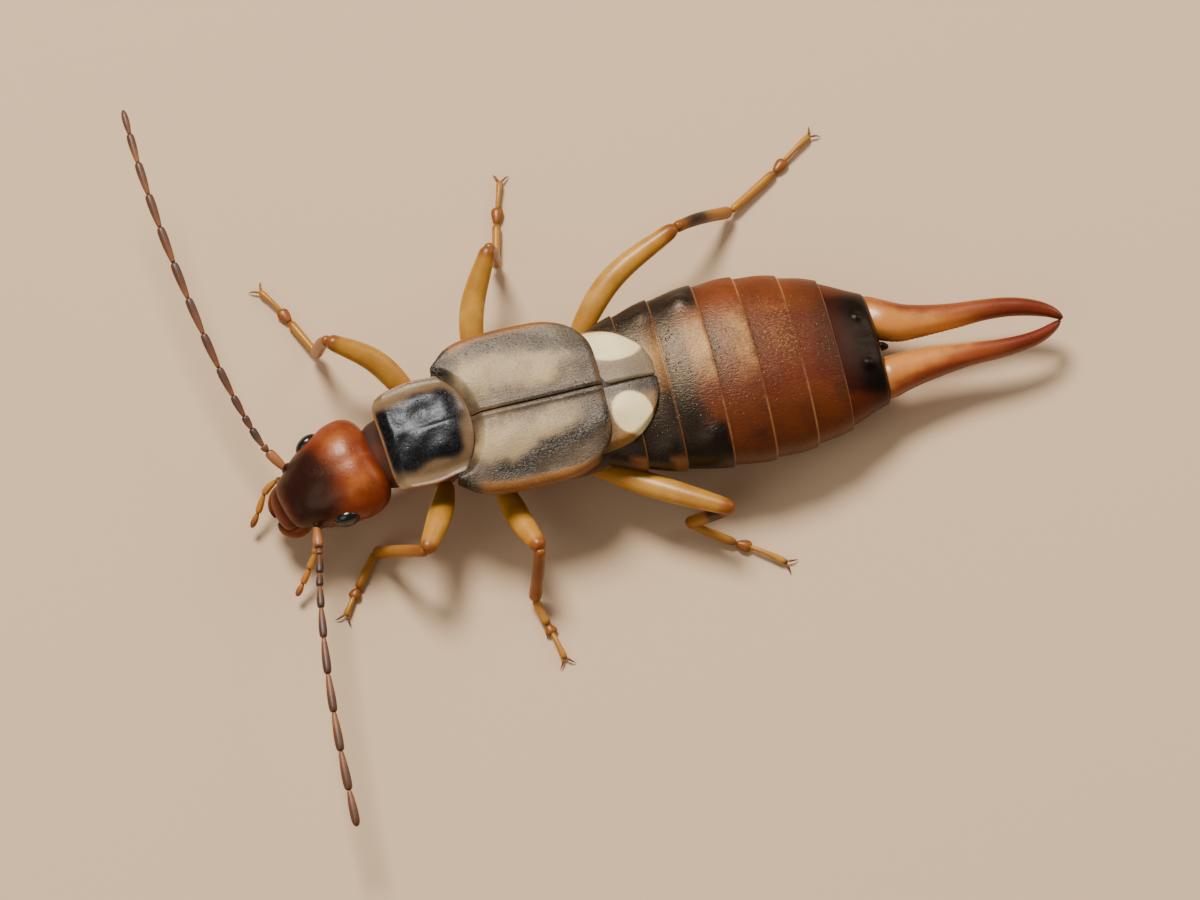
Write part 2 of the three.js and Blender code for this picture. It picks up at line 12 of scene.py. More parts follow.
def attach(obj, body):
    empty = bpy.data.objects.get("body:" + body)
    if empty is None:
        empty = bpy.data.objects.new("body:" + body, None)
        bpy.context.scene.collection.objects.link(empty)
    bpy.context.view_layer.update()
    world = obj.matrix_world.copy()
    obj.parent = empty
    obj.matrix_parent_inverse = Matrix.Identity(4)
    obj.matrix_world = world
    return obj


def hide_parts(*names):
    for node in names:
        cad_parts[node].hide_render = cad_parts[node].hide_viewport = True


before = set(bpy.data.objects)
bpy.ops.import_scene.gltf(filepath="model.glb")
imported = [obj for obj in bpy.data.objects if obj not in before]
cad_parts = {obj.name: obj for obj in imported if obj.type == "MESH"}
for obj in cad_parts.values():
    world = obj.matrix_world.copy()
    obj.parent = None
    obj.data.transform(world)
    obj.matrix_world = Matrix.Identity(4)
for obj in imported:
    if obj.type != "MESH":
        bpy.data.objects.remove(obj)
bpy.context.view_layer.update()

bodyOrigin = Vector((3.531, 0.17, 0.0))  # the frame's origin, seen from the pronotum's rear edge
toFrame = Matrix.Scale(0.001, 4) @ Matrix.Translation(-bodyOrigin)
upward = Vector((0.0, 0.0, 1.0))
sides = {"right": 1, "left": -1}


# Small helpers

def smoothstep(low, high, value):
    share = min(max((value - low) / (high - low), 0.0), 1.0)
    return share * share * (3 - 2 * share)


def bell(value, centre, width):
    return math.exp(-((value - centre) / width) ** 2)


def mix(a, b, share):
    return a + (b - a) * share


def evenly(low, high, count):
    return [mix(low, high, i / count) for i in range(count + 1)]


def ripple(place, scale, seed=0.0):
    return noise.noise(Vector(place) * scale + Vector((seed, seed * 0.7, seed * 1.3)))


def between(a, b, share, lift=0.0):
    return Vector(a).lerp(Vector(b), share) + upward * lift


def curveOf(rows, s):
    # a smooth curve through the rows of a table, read at s: every column after the first
    if s <= rows[0][0]:
        return rows[0][1:]
    if s >= rows[-1][0]:
        return rows[-1][1:]
    i = max(k for k in range(len(rows) - 1) if rows[k][0] <= s)
    span = rows[i + 1][0] - rows[i][0]
    t = (s - rows[i][0]) / span

    def slope(k, column):
        a, b = rows[max(k - 1, 0)], rows[min(k + 1, len(rows) - 1)]
        return (b[column] - a[column]) / (b[0] - a[0]) * span

    return tuple(
        (2 * t ** 3 - 3 * t * t + 1) * rows[i][c]
        + (t ** 3 - 2 * t * t + t) * slope(i, c)
        + (3 * t * t - 2 * t ** 3) * rows[i + 1][c]
        + (t ** 3 - t * t) * slope(i + 1, c)
        for c in range(1, len(rows[0]))
    )


def tableRings(rows, count):
    return [(share, *curveOf(rows, share)) for share in evenly(0.0, 1.0, count)]


class Line:
    # a smooth line through a few places, read by its share of length
    def __init__(self, places, perSpan=20):
        spots = [Vector(p) for p in places]
        ends = [spots[0] * 2 - spots[1], *spots, spots[-1] * 2 - spots[-2]]
        self.points = []
        for a, b, c, d in zip(ends, ends[1:], ends[2:], ends[3:]):
            t1 = (b - a).length ** 0.5
            t2 = t1 + (c - b).length ** 0.5
            t3 = t2 + (d - c).length ** 0.5
            for step in range(perSpan):
                t = mix(t1, t2, step / perSpan)
                ab = a.lerp(b, t / t1)
                bc = b.lerp(c, (t - t1) / (t2 - t1))
                cd = c.lerp(d, (t - t2) / (t3 - t2))
                abc, bcd = ab.lerp(bc, t / t2), bc.lerp(cd, (t - t1) / (t3 - t1))
                self.points.append(abc.lerp(bcd, (t - t1) / (t2 - t1)))
        self.points.append(spots[-1])
        self.run = [0.0]
        for a, b in zip(self.points, self.points[1:]):
            self.run.append(self.run[-1] + (b - a).length)

    def at(self, share):
        goal = min(max(share, 0.0), 1.0) * self.run[-1]
        i = min(bisect_right(self.run, goal), len(self.run) - 1)
        a, b = self.points[i - 1], self.points[i]
        part = (goal - self.run[i - 1]) / max(self.run[i] - self.run[i - 1], 1e-9)
        before, after = self.points[max(i - 2, 0)], self.points[min(i + 1, len(self.points) - 1)]
        ahead = ((b - a) * 2 + mix(a - before, after - b, part)).normalized()
        return a.lerp(b, part), ahead


# Making a piece: a mesh with the layers run (share along its line) and part (which sub-part it is)

hairPart = 20
threadPart = 30


def newShape():
    bm = bmesh.new()
    bm.verts.layers.float.new("run")
    bm.verts.layers.float.new("part")
    return bm


def tag(bm, verts, run, part):
    runLayer, partLayer = bm.verts.layers.float["run"], bm.verts.layers.float["part"]
    for v in verts:
        v[runLayer] = run
        v[partLayer] = part


def loft(bm, line, rings, around=12, up=upward, square=1.0, part=0.0):
    # rings are (share along the line, half-width, reach up, reach down)
    loops, everyVert = [], []
    for share, wide, top, bottom in rings:
        centre, ahead = line.at(share)
        lift = (up - ahead * up.dot(ahead)).normalized()
        side = lift.cross(ahead)
        verts = bmesh.ops.create_circle(bm, radius=1.0, segments=around)["verts"]
        for v in verts:
            across, rise = (math.copysign(abs(c) ** square, c) for c in v.co.xy)
            v.co = centre + side * (wide * across) + lift * ((top if rise > 0 else bottom) * rise)
        tag(bm, verts, share, part)
        loops.append(list(dict.fromkeys(e for v in verts for e in v.link_edges)))
        everyVert += verts
    for a, b in zip(loops, loops[1:]):
        bmesh.ops.bridge_loops(bm, edges=a + b)
    for loop in (loops[0], loops[-1]):
        bmesh.ops.contextual_create(bm, geom=loop)
    return everyVert


def ball(bm, centre, radii, turn=None, part=0.0, across=24, down=16):
    matrix = Matrix.Translation(Vector(centre)) @ (turn or Matrix()) @ Matrix.Diagonal((*radii, 1.0))
    verts = bmesh.ops.create_uvsphere(
        bm, u_segments=across, v_segments=down, radius=1.0, matrix=matrix
    )["verts"]
    tag(bm, verts, 0.0, part)
    return verts


def sheetOf(bm, lengthCells, widthCells, place, thick, part=0.0):
    # place(u, v) puts a grid point, u and v from 0 to 1; the sheet then gets its thickness downward
    made = bmesh.ops.create_grid(bm, x_segments=lengthCells, y_segments=widthCells, size=1.0)["verts"]
    for v in made:
        v.co = Vector(place((v.co.x + 1) / 2, (v.co.y + 1) / 2))
    tag(bm, made, 0.0, part)
    faces = list(dict.fromkeys(f for v in made for f in v.link_faces))
    bmesh.ops.recalc_face_normals(bm, faces=faces)
    if sum(f.normal.z for f in faces) < 0:
        bmesh.ops.reverse_faces(bm, faces=faces)
    bmesh.ops.solidify(bm, geom=faces, thickness=thick)


def hairs(bm, roots, length, radius):
    # each root is (place, outward, ahead); a hair leans ahead as it rises
    for place, outward, ahead in roots:
        lean = (outward * 0.55 + ahead).normalized()
        long = length * random.uniform(0.6, 1.15)
        turn = lean.to_track_quat("Z", "Y").to_matrix().to_4x4()
        matrix = Matrix.Translation(place + lean * long / 2) @ turn
        made = bmesh.ops.create_cone(
            bm, segments=3, radius1=radius, radius2=radius * 0.15, depth=long, matrix=matrix, cap_ends=True
        )["verts"]
        tag(bm, made, 0.0, hairPart)


def hairRoots(line, radius, low, high, count, seed, up=upward):
    random.seed(seed)
    roots = []
    for _ in range(count):
        share = random.uniform(low, high)
        centre, ahead = line.at(share)
        lift = (up - ahead * up.dot(ahead)).normalized()
        angle = random.uniform(0, math.tau)
        outward = lift * math.sin(angle) + lift.cross(ahead) * math.cos(angle)
        roots.append((centre + outward * radius * 0.9, outward, ahead))
    return roots


def paint(bm, colourOf):
    # colourOf(place, run, part) gives marks from 0 to 1: dark, pale, warm and, where painted highlight spots
    # go, glint
    marks = bm.verts.layers.float_color.new("marks")
    runLayer, partLayer = bm.verts.layers.float["run"], bm.verts.layers.float["part"]
    for v in bm.verts:
        values = (*colourOf(v.co, v[runLayer], round(v[partLayer])), 0.0)[:4]
        v[marks] = tuple(min(max(value, 0.0), 1.0) for value in values)


def addObject(name, data):
    made = bpy.data.objects.new(name, data)
    bpy.context.scene.collection.objects.link(made)
    return made


def finishPiece(bm, name, material, nodes=(), smoothing=0):
    bmesh.ops.recalc_face_normals(bm, faces=bm.faces)
    bm.transform(toFrame)
    mesh = bpy.data.meshes.new(name)
    bm.to_mesh(mesh)
    bm.free()
    mesh.shade_smooth()
    mesh.materials.append(material)
    piece = addObject(name, mesh)
    if smoothing:
        finer = piece.modifiers.new("finer", "SUBSURF")
        finer.levels = finer.render_levels = smoothing
    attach(piece, "root")
    if nodes:
        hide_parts(*nodes)
    return piece


# Materials

def tint(code, alpha=1.0):
    # a colour written as in a paint program, made linear
    parts = [int(code[i:i + 2], 16) / 255 for i in (0, 2, 4)]
    return (*[c / 12.92 if c <= 0.04045 else ((c + 0.055) / 1.055) ** 2.4 for c in parts], alpha)


def addNode(tree, kind, inputs=None, **settings):
    made = tree.nodes.new("ShaderNode" + kind)
    for key, value in settings.items():
        setattr(made, key, value)
    for key, value in (inputs or {}).items():
        if isinstance(value, bpy.types.NodeSocket):
            tree.links.new(value, made.inputs[key])
        else:
            made.inputs[key].default_value = value
    return made


def addMath(tree, operation, a, b=0.5, clamp=False):
    return addNode(tree, "Math", {0: a, 1: b}, operation=operation, use_clamp=clamp).outputs[0]


def addRange(tree, value, low, high, toLow=0.0, toHigh=1.0, **settings):
    inputs = {"Value": value, "From Min": low, "From Max": high, "To Min": toLow, "To Max": toHigh}
    return addNode(tree, "MapRange", inputs, **settings).outputs[0]


def addNoise(tree, place, scale, detail=2.0, roughness=0.5):
    inputs = {"Vector": place, "Scale": scale, "Detail": detail, "Roughness": roughness}
    return addNode(tree, "TexNoise", inputs).outputs[0]


def addMix(tree, share, a, b, blend="MIX"):
    # inputs 6 and 7 are the colour pair of the Mix node, and output 2 its colour
    return addNode(tree, "Mix", {0: share, 6: a, 7: b}, data_type="RGBA", blend_type=blend).outputs[2]


def groupOf(name, inputs, outputs):
    group = bpy.data.node_groups.new(name, "ShaderNodeTree")
    for label, value in inputs.items():
        socket = group.interface.new_socket(label, in_out="INPUT", socket_type="NodeSocketFloat")
        socket.default_value = value
    for label in outputs:
        group.interface.new_socket(label, in_out="OUTPUT", socket_type="NodeSocketFloat")
    return group, group.nodes.new("NodeGroupInput"), group.nodes.new("NodeGroupOutput")


def makeGrainGroup():
    # the horn's own surface: a fine grain, small pits and a slow mottle, and the pattern of the painted
    # highlight spots, in sizes per millimetre
    given = {"Grain": 30.0, "Pits": 8.0, "Mottle": 1.5, "Stretch": 1.0}
    group, source, result = groupOf("hornGrain", given, ["Height", "Cloud", "PaintedGlint"])
    inMetres = addNode(group, "TexCoord").outputs["Object"]
    place = addNode(group, "VectorMath", {0: inMetres, 1: (1000.0,) * 3}, operation="MULTIPLY").outputs[0]
    squeeze = addNode(group, "CombineXYZ", {"X": source.outputs["Stretch"], "Y": 1.0, "Z": 1.0}).outputs[0]
    stretched = addNode(group, "VectorMath", {0: place, 1: squeeze}, operation="MULTIPLY").outputs[0]
    grain = addNoise(group, stretched, source.outputs["Grain"], 3.0, 0.6)
    cells = addNode(
        group, "TexVoronoi", {"Vector": place, "Scale": source.outputs["Pits"], "Randomness": 1.0}
    ).outputs["Distance"]
    pits = addRange(group, cells, 0.06, 0.2, 1.0, 0.0)
    # painted highlight spots: a finer noise, cut off so that only its peaks remain
    glintNoise = addNoise(group, stretched, addMath(group, "MULTIPLY", source.outputs["Grain"], 1.5))
    paintedGlintSpots = addRange(group, glintNoise, 0.5, 0.66)
    cloud = addNoise(group, place, source.outputs["Mottle"], 5.0, 0.62)
    height = addMath(group, "SUBTRACT", grain, addMath(group, "MULTIPLY", pits, 0.6))
    for socket, label in ((height, "Height"), (cloud, "Cloud"), (paintedGlintSpots, "PaintedGlint")):
        group.links.new(socket, result.inputs[label])
    return group


hornGrain = makeGrainGroup()


usualHorn = {
    # sizes per millimetre, and how far the pattern is stretched along the body
    "grain": 30.0, "pits": 8.0, "mottle": 1.5, "stretch": 1.0,
    # how deep the grain goes, in metres, and how strongly it shows
    "depth": 0.00001, "bump": 0.12,
    "cloudy": 0.35, "rough": 0.3, "roughSpread": 0.12, "coat": 0.0, "coatRough": 0.15,
    "glow": 0.0, "glowDepth": 0.0002, "glowColours": (1.0, 0.5, 0.2),
    # glint is the colour of the painted highlight spots and glintShare how strongly they show
    "glint": "d9b98a", "glintShare": 0.6, "shine": "ffffff", "specular": 0.5,
}


def horn(name, base, dark, pale, warm, **look):
    # red marks darken, green marks lighten and blue marks warm the base colour, and the alpha mark lays
    # painted highlight spots in the glint colour; look holds the fixed sizes
    spec = {**usualHorn, **look}
    material = bpy.data.materials.new(name)
    material.use_nodes = True
    tree = material.node_tree
    shader = next(n for n in tree.nodes if n.type == "BSDF_PRINCIPLED")
    marks = addNode(tree, "Attribute", attribute_name="marks")
    split = addNode(tree, "SeparateColor", {0: marks.outputs["Color"]})
    skin = tree.nodes.new("ShaderNodeGroup")
    skin.node_tree = hornGrain
    for label in ("Grain", "Pits", "Mottle", "Stretch"):
        skin.inputs[label].default_value = spec[label.lower()]
    cloud = addRange(tree, skin.outputs["Cloud"], 0.3, 0.7, -1.0, 1.0)

    def masked(output):
        # the mark, with its soft edge broken up by the mottle
        mark = split.outputs[output]
        edge = addMath(tree, "MULTIPLY", mark, addMath(tree, "SUBTRACT", 1.0, mark))
        moved = addMath(tree, "ADD", mark, addMath(tree, "MULTIPLY", edge, cloud))
        return addRange(tree, moved, 0.02, 0.98, interpolation_type="SMOOTHSTEP")

    colour = addMix(tree, masked(2), tint(base), tint(warm))
    colour = addMix(tree, masked(1), colour, tint(pale))
    colour = addMix(tree, masked(0), colour, tint(dark))
    # the painted highlight spots, in the glint colour, laid over the colour where the alpha mark asks
    glintNoiseShare = addMath(tree, "MULTIPLY", skin.outputs["PaintedGlint"], addMath(
        tree, "MULTIPLY", marks.outputs["Alpha"], spec["glintShare"]))
    colour = addMix(tree, glintNoiseShare, colour, tint(spec["glint"]))
    shade = addRange(tree, skin.outputs["Cloud"], 0.25, 0.75, 1 - spec["cloudy"], 1.0)
    shadeColour = addNode(tree, "CombineColor", {0: shade, 1: shade, 2: shade}).outputs[0]
    toned = addMix(tree, 1.0, colour, shadeColour, blend="MULTIPLY")
    tree.links.new(toned, shader.inputs["Base Color"])
    smoothest, roughest = spec["rough"] - spec["roughSpread"] / 2, spec["rough"] + spec["roughSpread"]
    rough = addRange(tree, skin.outputs["Height"], 0.2, 0.8, smoothest, roughest)
    tree.links.new(rough, shader.inputs["Roughness"])
    relief = {"Height": skin.outputs["Height"], "Strength": spec["bump"], "Distance": spec["depth"]}
    bump = addNode(tree, "Bump", relief)
    tree.links.new(bump.outputs[0], shader.inputs["Normal"])
    fixed = {
        "Specular IOR Level": spec["specular"], "Specular Tint": tint(spec["shine"]),
        "Coat Weight": spec["coat"], "Coat Roughness": spec["coatRough"],
        "Subsurface Weight": spec["glow"], "Subsurface Scale": spec["glowDepth"],
        "Subsurface Radius": spec["glowColours"],
    }
    for label, value in fixed.items():
        shader.inputs[label].default_value = value
    return material


# base, dark, pale and warm colour of each; glint, where given, is the colour of its painted highlight spots
headHorn = horn(
    "headHorn", "7d2d0d", "240706", "b05f28", "6b1f0a", bump=0.4, rough=0.34, coat=0.08, glow=0.08,
    pits=5.0, grain=14.0, cloudy=0.45, shine="ffcfa4", specular=0.4
)
mouthHorn = horn(
    "mouthHorn", "6a260e", "1c0705", "b9752e", "742a0f", rough=0.38, coat=0.05, glow=0.1, shine="ffcfa4",
    specular=0.35
)
eyeLens = horn(
    "eyeLens", "060607", "030303", "1a1512", "0a0706", bump=0.25, grain=6.0, pits=26.0, rough=0.2, coat=0.25
)
feelerHorn = horn(
    "feelerHorn", "5f361c", "241309", "8f5c2e", "a8622a", bump=0.3, grain=40.0, rough=0.42, glow=0.1
)
palpHorn = horn("palpHorn", "bd7a20", "7a3a14", "d09a3a", "a8561a", rough=0.28, glow=0.35)
shieldHorn = horn(
    "shieldHorn", "75593c", "040303", "957954", "8a5a30", bump=0.5, grain=15.0, rough=0.3, glow=0.06,
    cloudy=0.35, glint="8f8a84", glintShare=0.2, specular=0.22
)
coverHorn = horn(
    "coverHorn", "54422f", "120d0b", "a98c62", "8a5520", bump=0.7, grain=26.0, rough=0.38, glow=0.06,
    cloudy=0.45, stretch=0.6, glint="b5a487", glintShare=0.32, shine="ffe9cf", specular=0.4
)
wingHorn = horn(
    "wingHorn", "78644a", "1c140f", "f0d499", "85581f", bump=0.3, grain=26.0, rough=0.36, glow=0.1,
    cloudy=0.2, glint="c8b795", glintShare=0.3, shine="ffe9cf", specular=0.4
)
bellyHorn = horn(
    "bellyHorn", "5c1e0a", "0a0506", "b9854c", "70300e", bump=0.8, grain=24.0, pits=10.0, rough=0.33,
    glow=0.03, cloudy=0.45, stretch=0.45, glint="cf9c5e", glintShare=0.5, shine="ffdcb4", specular=0.45
)
tailHorn = horn(
    "tailHorn", "2f0c07", "050202", "8a4a22", "54200e", bump=0.2, grain=18.0, rough=0.34, cloudy=0.3,
    shine="ffd7b4", specular=0.25
)
pincerHorn = horn(
    "pincerHorn", "9c4a20", "1c0805", "cf8136", "74260f", bump=0.2, rough=0.3, coat=0.15, glow=0.35,
    shine="ffe0c0"
)
legHorn = horn(
    "legHorn", "ba7d26", "2a150b", "d3a044", "8c4b15", bump=0.15, rough=0.36, coat=0.08, glow=0.35,
    shine="ffe6c4", specular=0.42
)
softSkin = horn(
    "softSkin", "6d3d22", "301d13", "a3764c", "7a3818", bump=0.4, rough=0.5, glow=0.1, specular=0.3
)
print("materials made")


# Head and its parts, in the head's own frame: +x forward, +y to its left

headSizes = {
    "place": (-3.02, -0.42, 1.5),
    "turn": math.radians(14.5),
    "nod": math.radians(13),
    # forward place, half-width, reach up, reach down
    "rings": [
        (-1.07, 0.30, 0.16, 0.14), (-1.05, 0.55, 0.28, 0.24), (-0.98, 0.82, 0.42, 0.36),
        (-0.82, 1.02, 0.55, 0.48), (-0.5, 1.11, 0.65, 0.56), (-0.1, 1.07, 0.68, 0.58),
        (0.3, 0.96, 0.64, 0.56), (0.62, 0.80, 0.54, 0.5), (0.86, 0.66, 0.44, 0.42),
        (1.03, 0.57, 0.35, 0.34), (1.13, 0.47, 0.26, 0.27), (1.19, 0.3, 0.14, 0.17),
    ],
    "notch": 0.04,
    "eye": (0.1, 0.91, 0.13),
    "eyeRadii": (0.29, 0.18, 0.25),
    "socket": (0.68, 0.68, 0.08),
    "socketRadii": (0.17, 0.16, 0.16),
}
headMatrix = (
    Matrix.Translation(headSizes["place"])
    @ Matrix.Rotation(math.pi + headSizes["turn"], 4, "Z")
    @ Matrix.Rotation(headSizes["nod"], 4, "Y")
)


def sutureAt(x, y):
    # the pale Y-shaped seam on top of the head: a stem from the rear, forking towards the eyes
    stem = bell(y, 0, 0.035) * smoothstep(0.02, -0.1, x)
    fork = bell(abs(y) - (x + 0.02) * 1.25, 0, 0.045) * smoothstep(-0.04, 0.04, x) * smoothstep(0.55, 0.3, x)
    return max(stem, fork)


def makeHead():
    bm = newShape()
    rows = headSizes["rings"]
    first, last = rows[0][0], rows[-1][0]
    count = 34
    line = Line([(first, 0, 0), (last, 0, 0)])
    rings = []
    for i in range(count + 1):
        # rings crowd together at both ends, where the head rounds off
        share = 0.5 - 0.5 * math.cos(math.pi * i / count)
        rings.append((share, *curveOf(rows, mix(first, last, share))))
    loft(bm, line, rings, around=56, square=0.94)
    for v in bm.verts:
        x, y, z = v.co
        rear = smoothstep(0.45, 1.05, -x)
        v.co.x += headSizes["notch"] * rear * bell(y, 0, 0.36)
        if z > 0:
            v.co.z += 0.02 * bell(x, -0.45, 0.4) * bell(abs(y), 0.55, 0.35)  # swollen temples
            v.co.z -= 0.01 * sutureAt(x, y)
            v.co.z -= 0.022 * bell(x, 0.3, 0.2) * bell(abs(y), 0.3, 0.16)  # shallow dents between the eyes
            # small pits where the seam forks
            v.co.z -= 0.02 * bell(math.hypot(x - 0.02, abs(y) - 0.1), 0, 0.045)
            v.co.z += 0.01 * ripple(v.co, 3.0, 2.0) * smoothstep(-0.4, 0.2, x)
            v.co.z -= 0.012 * bell(x, 0.8, 0.05) * smoothstep(0.6, 0.4, abs(y))  # seam behind the clypeus
        eyeX, eyeY, _ = headSizes["eye"]
        ring = math.hypot((x - eyeX) / 0.3, (abs(y) - eyeY) / 0.24)
        if ring < 1.5:
            v.co.y -= math.copysign(0.03 * bell(ring, 1.0, 0.2), y)
    for side in (1, -1):
        x, y, z = headSizes["socket"]
        ball(bm, (x, side * y * 0.97, z), headSizes["socketRadii"], part=1, across=20, down=12)

    def colourOf(place, run, part):
        x, y, z = place
        wave = 0.16 * ripple(place, 2.2, 4.0)
        face = smoothstep(-0.6, 0.2, x + wave - 0.28 * abs(y))
        face *= mix(smoothstep(1.02, 0.62, abs(y) + wave), 1.0, smoothstep(0.5, 0.8, x))
        spot = 0.75 * bell(math.hypot(x + 0.05, abs(y) - 0.18), 0, 0.12)
        dark = max(face * (0.94 - 0.3 * smoothstep(0.85, 1.1, x)), spot, 0.8 if part == 1 else 0.0)
        pale = 0.75 * bell(x, -0.55, 0.38) * bell(abs(y), 0.55, 0.32) + 0.25 * sutureAt(x, y) * (z > 0)
        warm = smoothstep(0.0, -0.4, z) * 0.8
        return dark, pale * (1 - dark), warm

    paint(bm, colourOf)
    bm.transform(headMatrix)
    finishPiece(bm, "headShell", headHorn, ["head"], smoothing=1)


def makeEyes():
    for name, side in sides.items():
        bm = newShape()
        x, y, z = headSizes["eye"]
        turn = Matrix.Rotation(side * math.radians(14), 4, "Z")
        ball(bm, (x, -side * y, z), headSizes["eyeRadii"], turn, across=40, down=28)
        paint(bm, lambda place, run, part: (0.4, 0.0, 0.0))
        bm.transform(headMatrix)
        finishPiece(bm, f"eye_{name}_lens", eyeLens, [f"eye_{name}"])


mouthSizes = {
    "lip": [(0.0, 0.4, 0.06, 0.06), (0.15, 0.48, 0.1, 0.1), (0.5, 0.47, 0.11, 0.1), (0.8, 0.38, 0.1, 0.08),
            (0.94, 0.26, 0.06, 0.05), (1.0, 0.14, 0.03, 0.03)],
    "lipLine": [(0.9, 0.0, 0.1), (1.12, 0.0, 0.02), (1.3, 0.0, -0.12), (1.4, 0.0, -0.3)],
    "jaw": [
        (0.0, 0.14, 0.13, 0.13), (0.3, 0.19, 0.15, 0.15), (0.6, 0.16, 0.13, 0.13), (0.85, 0.1, 0.09, 0.09),
        (1.0, 0.03, 0.03, 0.03),
    ],
    "jawLine": [(0.86, 0.42, -0.28), (1.16, 0.44, -0.3), (1.38, 0.3, -0.36), (1.48, 0.06, -0.4)],
    "chin": [(0, 0.3, 0.1, 0.1), (0.4, 0.38, 0.14, 0.12), (0.8, 0.3, 0.12, 0.1), (1, 0.12, 0.05, 0.05)],
    "chinLine": [(0.3, 0.0, -0.42), (0.7, 0.0, -0.5), (1.05, 0.0, -0.5), (1.3, 0.0, -0.46)],
    "lipPalp": [(0, 0.04, 0.04, 0.04), (0.3, 0.07, 0.07, 0.07), (0.45, 0.05, 0.05, 0.05),
                (0.8, 0.07, 0.07, 0.07), (1, 0.02, 0.02, 0.02)],
    "lipPalpLine": [(1.1, 0.18, -0.55), (1.25, 0.26, -0.66), (1.42, 0.24, -0.74)],
}


def makeMouth():
    bm = newShape()
    loft(bm, Line(mouthSizes["lipLine"]), tableRings(mouthSizes["lip"], 16), around=32)
    for v in bm.verts:
        v.co.z -= 0.01 * bell(v.co.x, 1.2, 0.03) * (v.co.z > -0.1)  # seam across the upper lip
    paint(bm, lambda place, run, part: (0.72 - 0.6 * smoothstep(0.35, 0.85, run), 0.0, 0.8))
    bm.transform(headMatrix)
    finishPiece(bm, "upperLip", mouthHorn, ["labrum"], smoothing=1)
    for name, side in sides.items():
        bm = newShape()
        places = [(x, -side * y, z) for x, y, z in mouthSizes["jawLine"]]
        loft(bm, Line(places), tableRings(mouthSizes["jaw"], 12), around=16)
        paint(bm, lambda place, run, part: (smoothstep(0.6, 1.0, run), 0.15, 0.7 - run))
        bm.transform(headMatrix)
        finishPiece(bm, f"jaw_{name}", mouthHorn, [f"mandible_{name}"], smoothing=1)
    bm = newShape()
    loft(bm, Line(mouthSizes["chinLine"]), mouthSizes["chin"], 16)
    for side in (1, -1):
        lipPalp = Line([(x, side * y, z) for x, y, z in mouthSizes["lipPalpLine"]])
        loft(bm, lipPalp, mouthSizes["lipPalp"], around=10, part=1)
    paint(bm, lambda place, run, part: (0.0, 0.3 + 0.4 * (part == 1), 0.6))
    bm.transform(headMatrix)
    finishPiece(bm, "chin", mouthHorn, smoothing=1)


palpSizes = {
    "right": [
        (-3.78, -0.1, 1.0), (-4.1, 0.05, 0.94), (-4.4, -0.03, 0.76), (-4.66, -0.37, 0.52),
        (-4.88, -0.63, 0.32),
    ],
    "left": [
        (-3.58, -1.34, 0.88), (-3.72, -1.66, 0.78), (-3.88, -1.88, 0.62), (-4.06, -2.08, 0.46),
        (-4.28, -2.33, 0.3),
    ],
    "cuts": [0.0, 0.12, 0.26, 0.52, 0.78, 1.0],  # where each palp's joints fall
    "radius": [0.075, 0.08, 0.085, 0.08, 0.08],
}


def jointed(bm, line, cuts, radii, around, waist=0.6, tip=0.5):
    # a row of beads on a line, each narrow at its root and widest near its end
    for i, (low, high) in enumerate(zip(cuts, cuts[1:])):
        last = i == len(cuts) - 2
        r = radii[i]
        shape = [(0.0, 0.45), (0.03, waist * 0.85), (0.1, waist)]
        if last:
            shape += [(0.35, 0.9), (0.65, 0.95), (0.88, tip + 0.2), (0.97, tip * 0.7), (1.0, tip * 0.3)]
        else:
            shape += [(0.35, 0.86), (0.7, 1.0), (0.9, 0.94), (0.97, 0.78), (1.0, 0.5)]
        loft(bm, line, [(mix(low, high, s), r * w, r * w, r * w) for s, w in shape], around=around, part=i)


def makePalps():
    for seed, name in enumerate(sides):
        bm = newShape()
        line = Line(palpSizes[name])
        jointed(bm, line, palpSizes["cuts"], palpSizes["radius"], 14)
        hairs(bm, hairRoots(line, 0.075, 0.3, 1.0, 70, 11 + seed), 0.07, 0.004)
        cuts = palpSizes["cuts"]

        def colourOf(place, run, part):
            joint = max(bell(run, cut, 0.018) for cut in cuts[1:])
            dark = max(0.8 * smoothstep(0.72, 0.98, run), joint * 0.7, 0.3 * (part == hairPart))
            return dark, 0.3 * (1 - run), 0.5 * run

        paint(bm, colourOf)
        finishPiece(bm, f"palp_{name}_beads", palpHorn, [f"palp_{name}"], smoothing=1)


# Feelers

feelerSizes = {
    "lengths": [0.56, 0.15, 0.43, 0.30, 0.48, 0.66, 0.78, 0.81, 0.81, 0.81, 0.75, 0.73, 0.66, 0.56],
    "radii": [0.118, 0.088, 0.09, 0.086, 0.089, 0.092, 0.096, 0.098, 0.1, 0.102, 0.1, 0.096, 0.092, 0.084],
    "right": [
        (-4.26, 0.62, 1.56), (-4.46, 1.14, 1.68), (-4.74, 2.1, 1.94), (-5.0, 3.3, 2.24), (-5.3, 5.1, 2.58),
        (-5.5, 6.9, 2.82), (-5.57, 8.24, 2.9),
    ],
    "left": [
        (-3.66, -2.02, 1.56), (-3.8, -2.74, 1.7), (-4.02, -4.4, 1.86), (-4.14, -6.2, 1.84),
        (-4.17, -7.9, 1.7),
    ],
    "count": {"right": 14, "left": 11},  # the left feeler has lost its last beads
    "core": 0.032,  # the thread that joins the beads
}


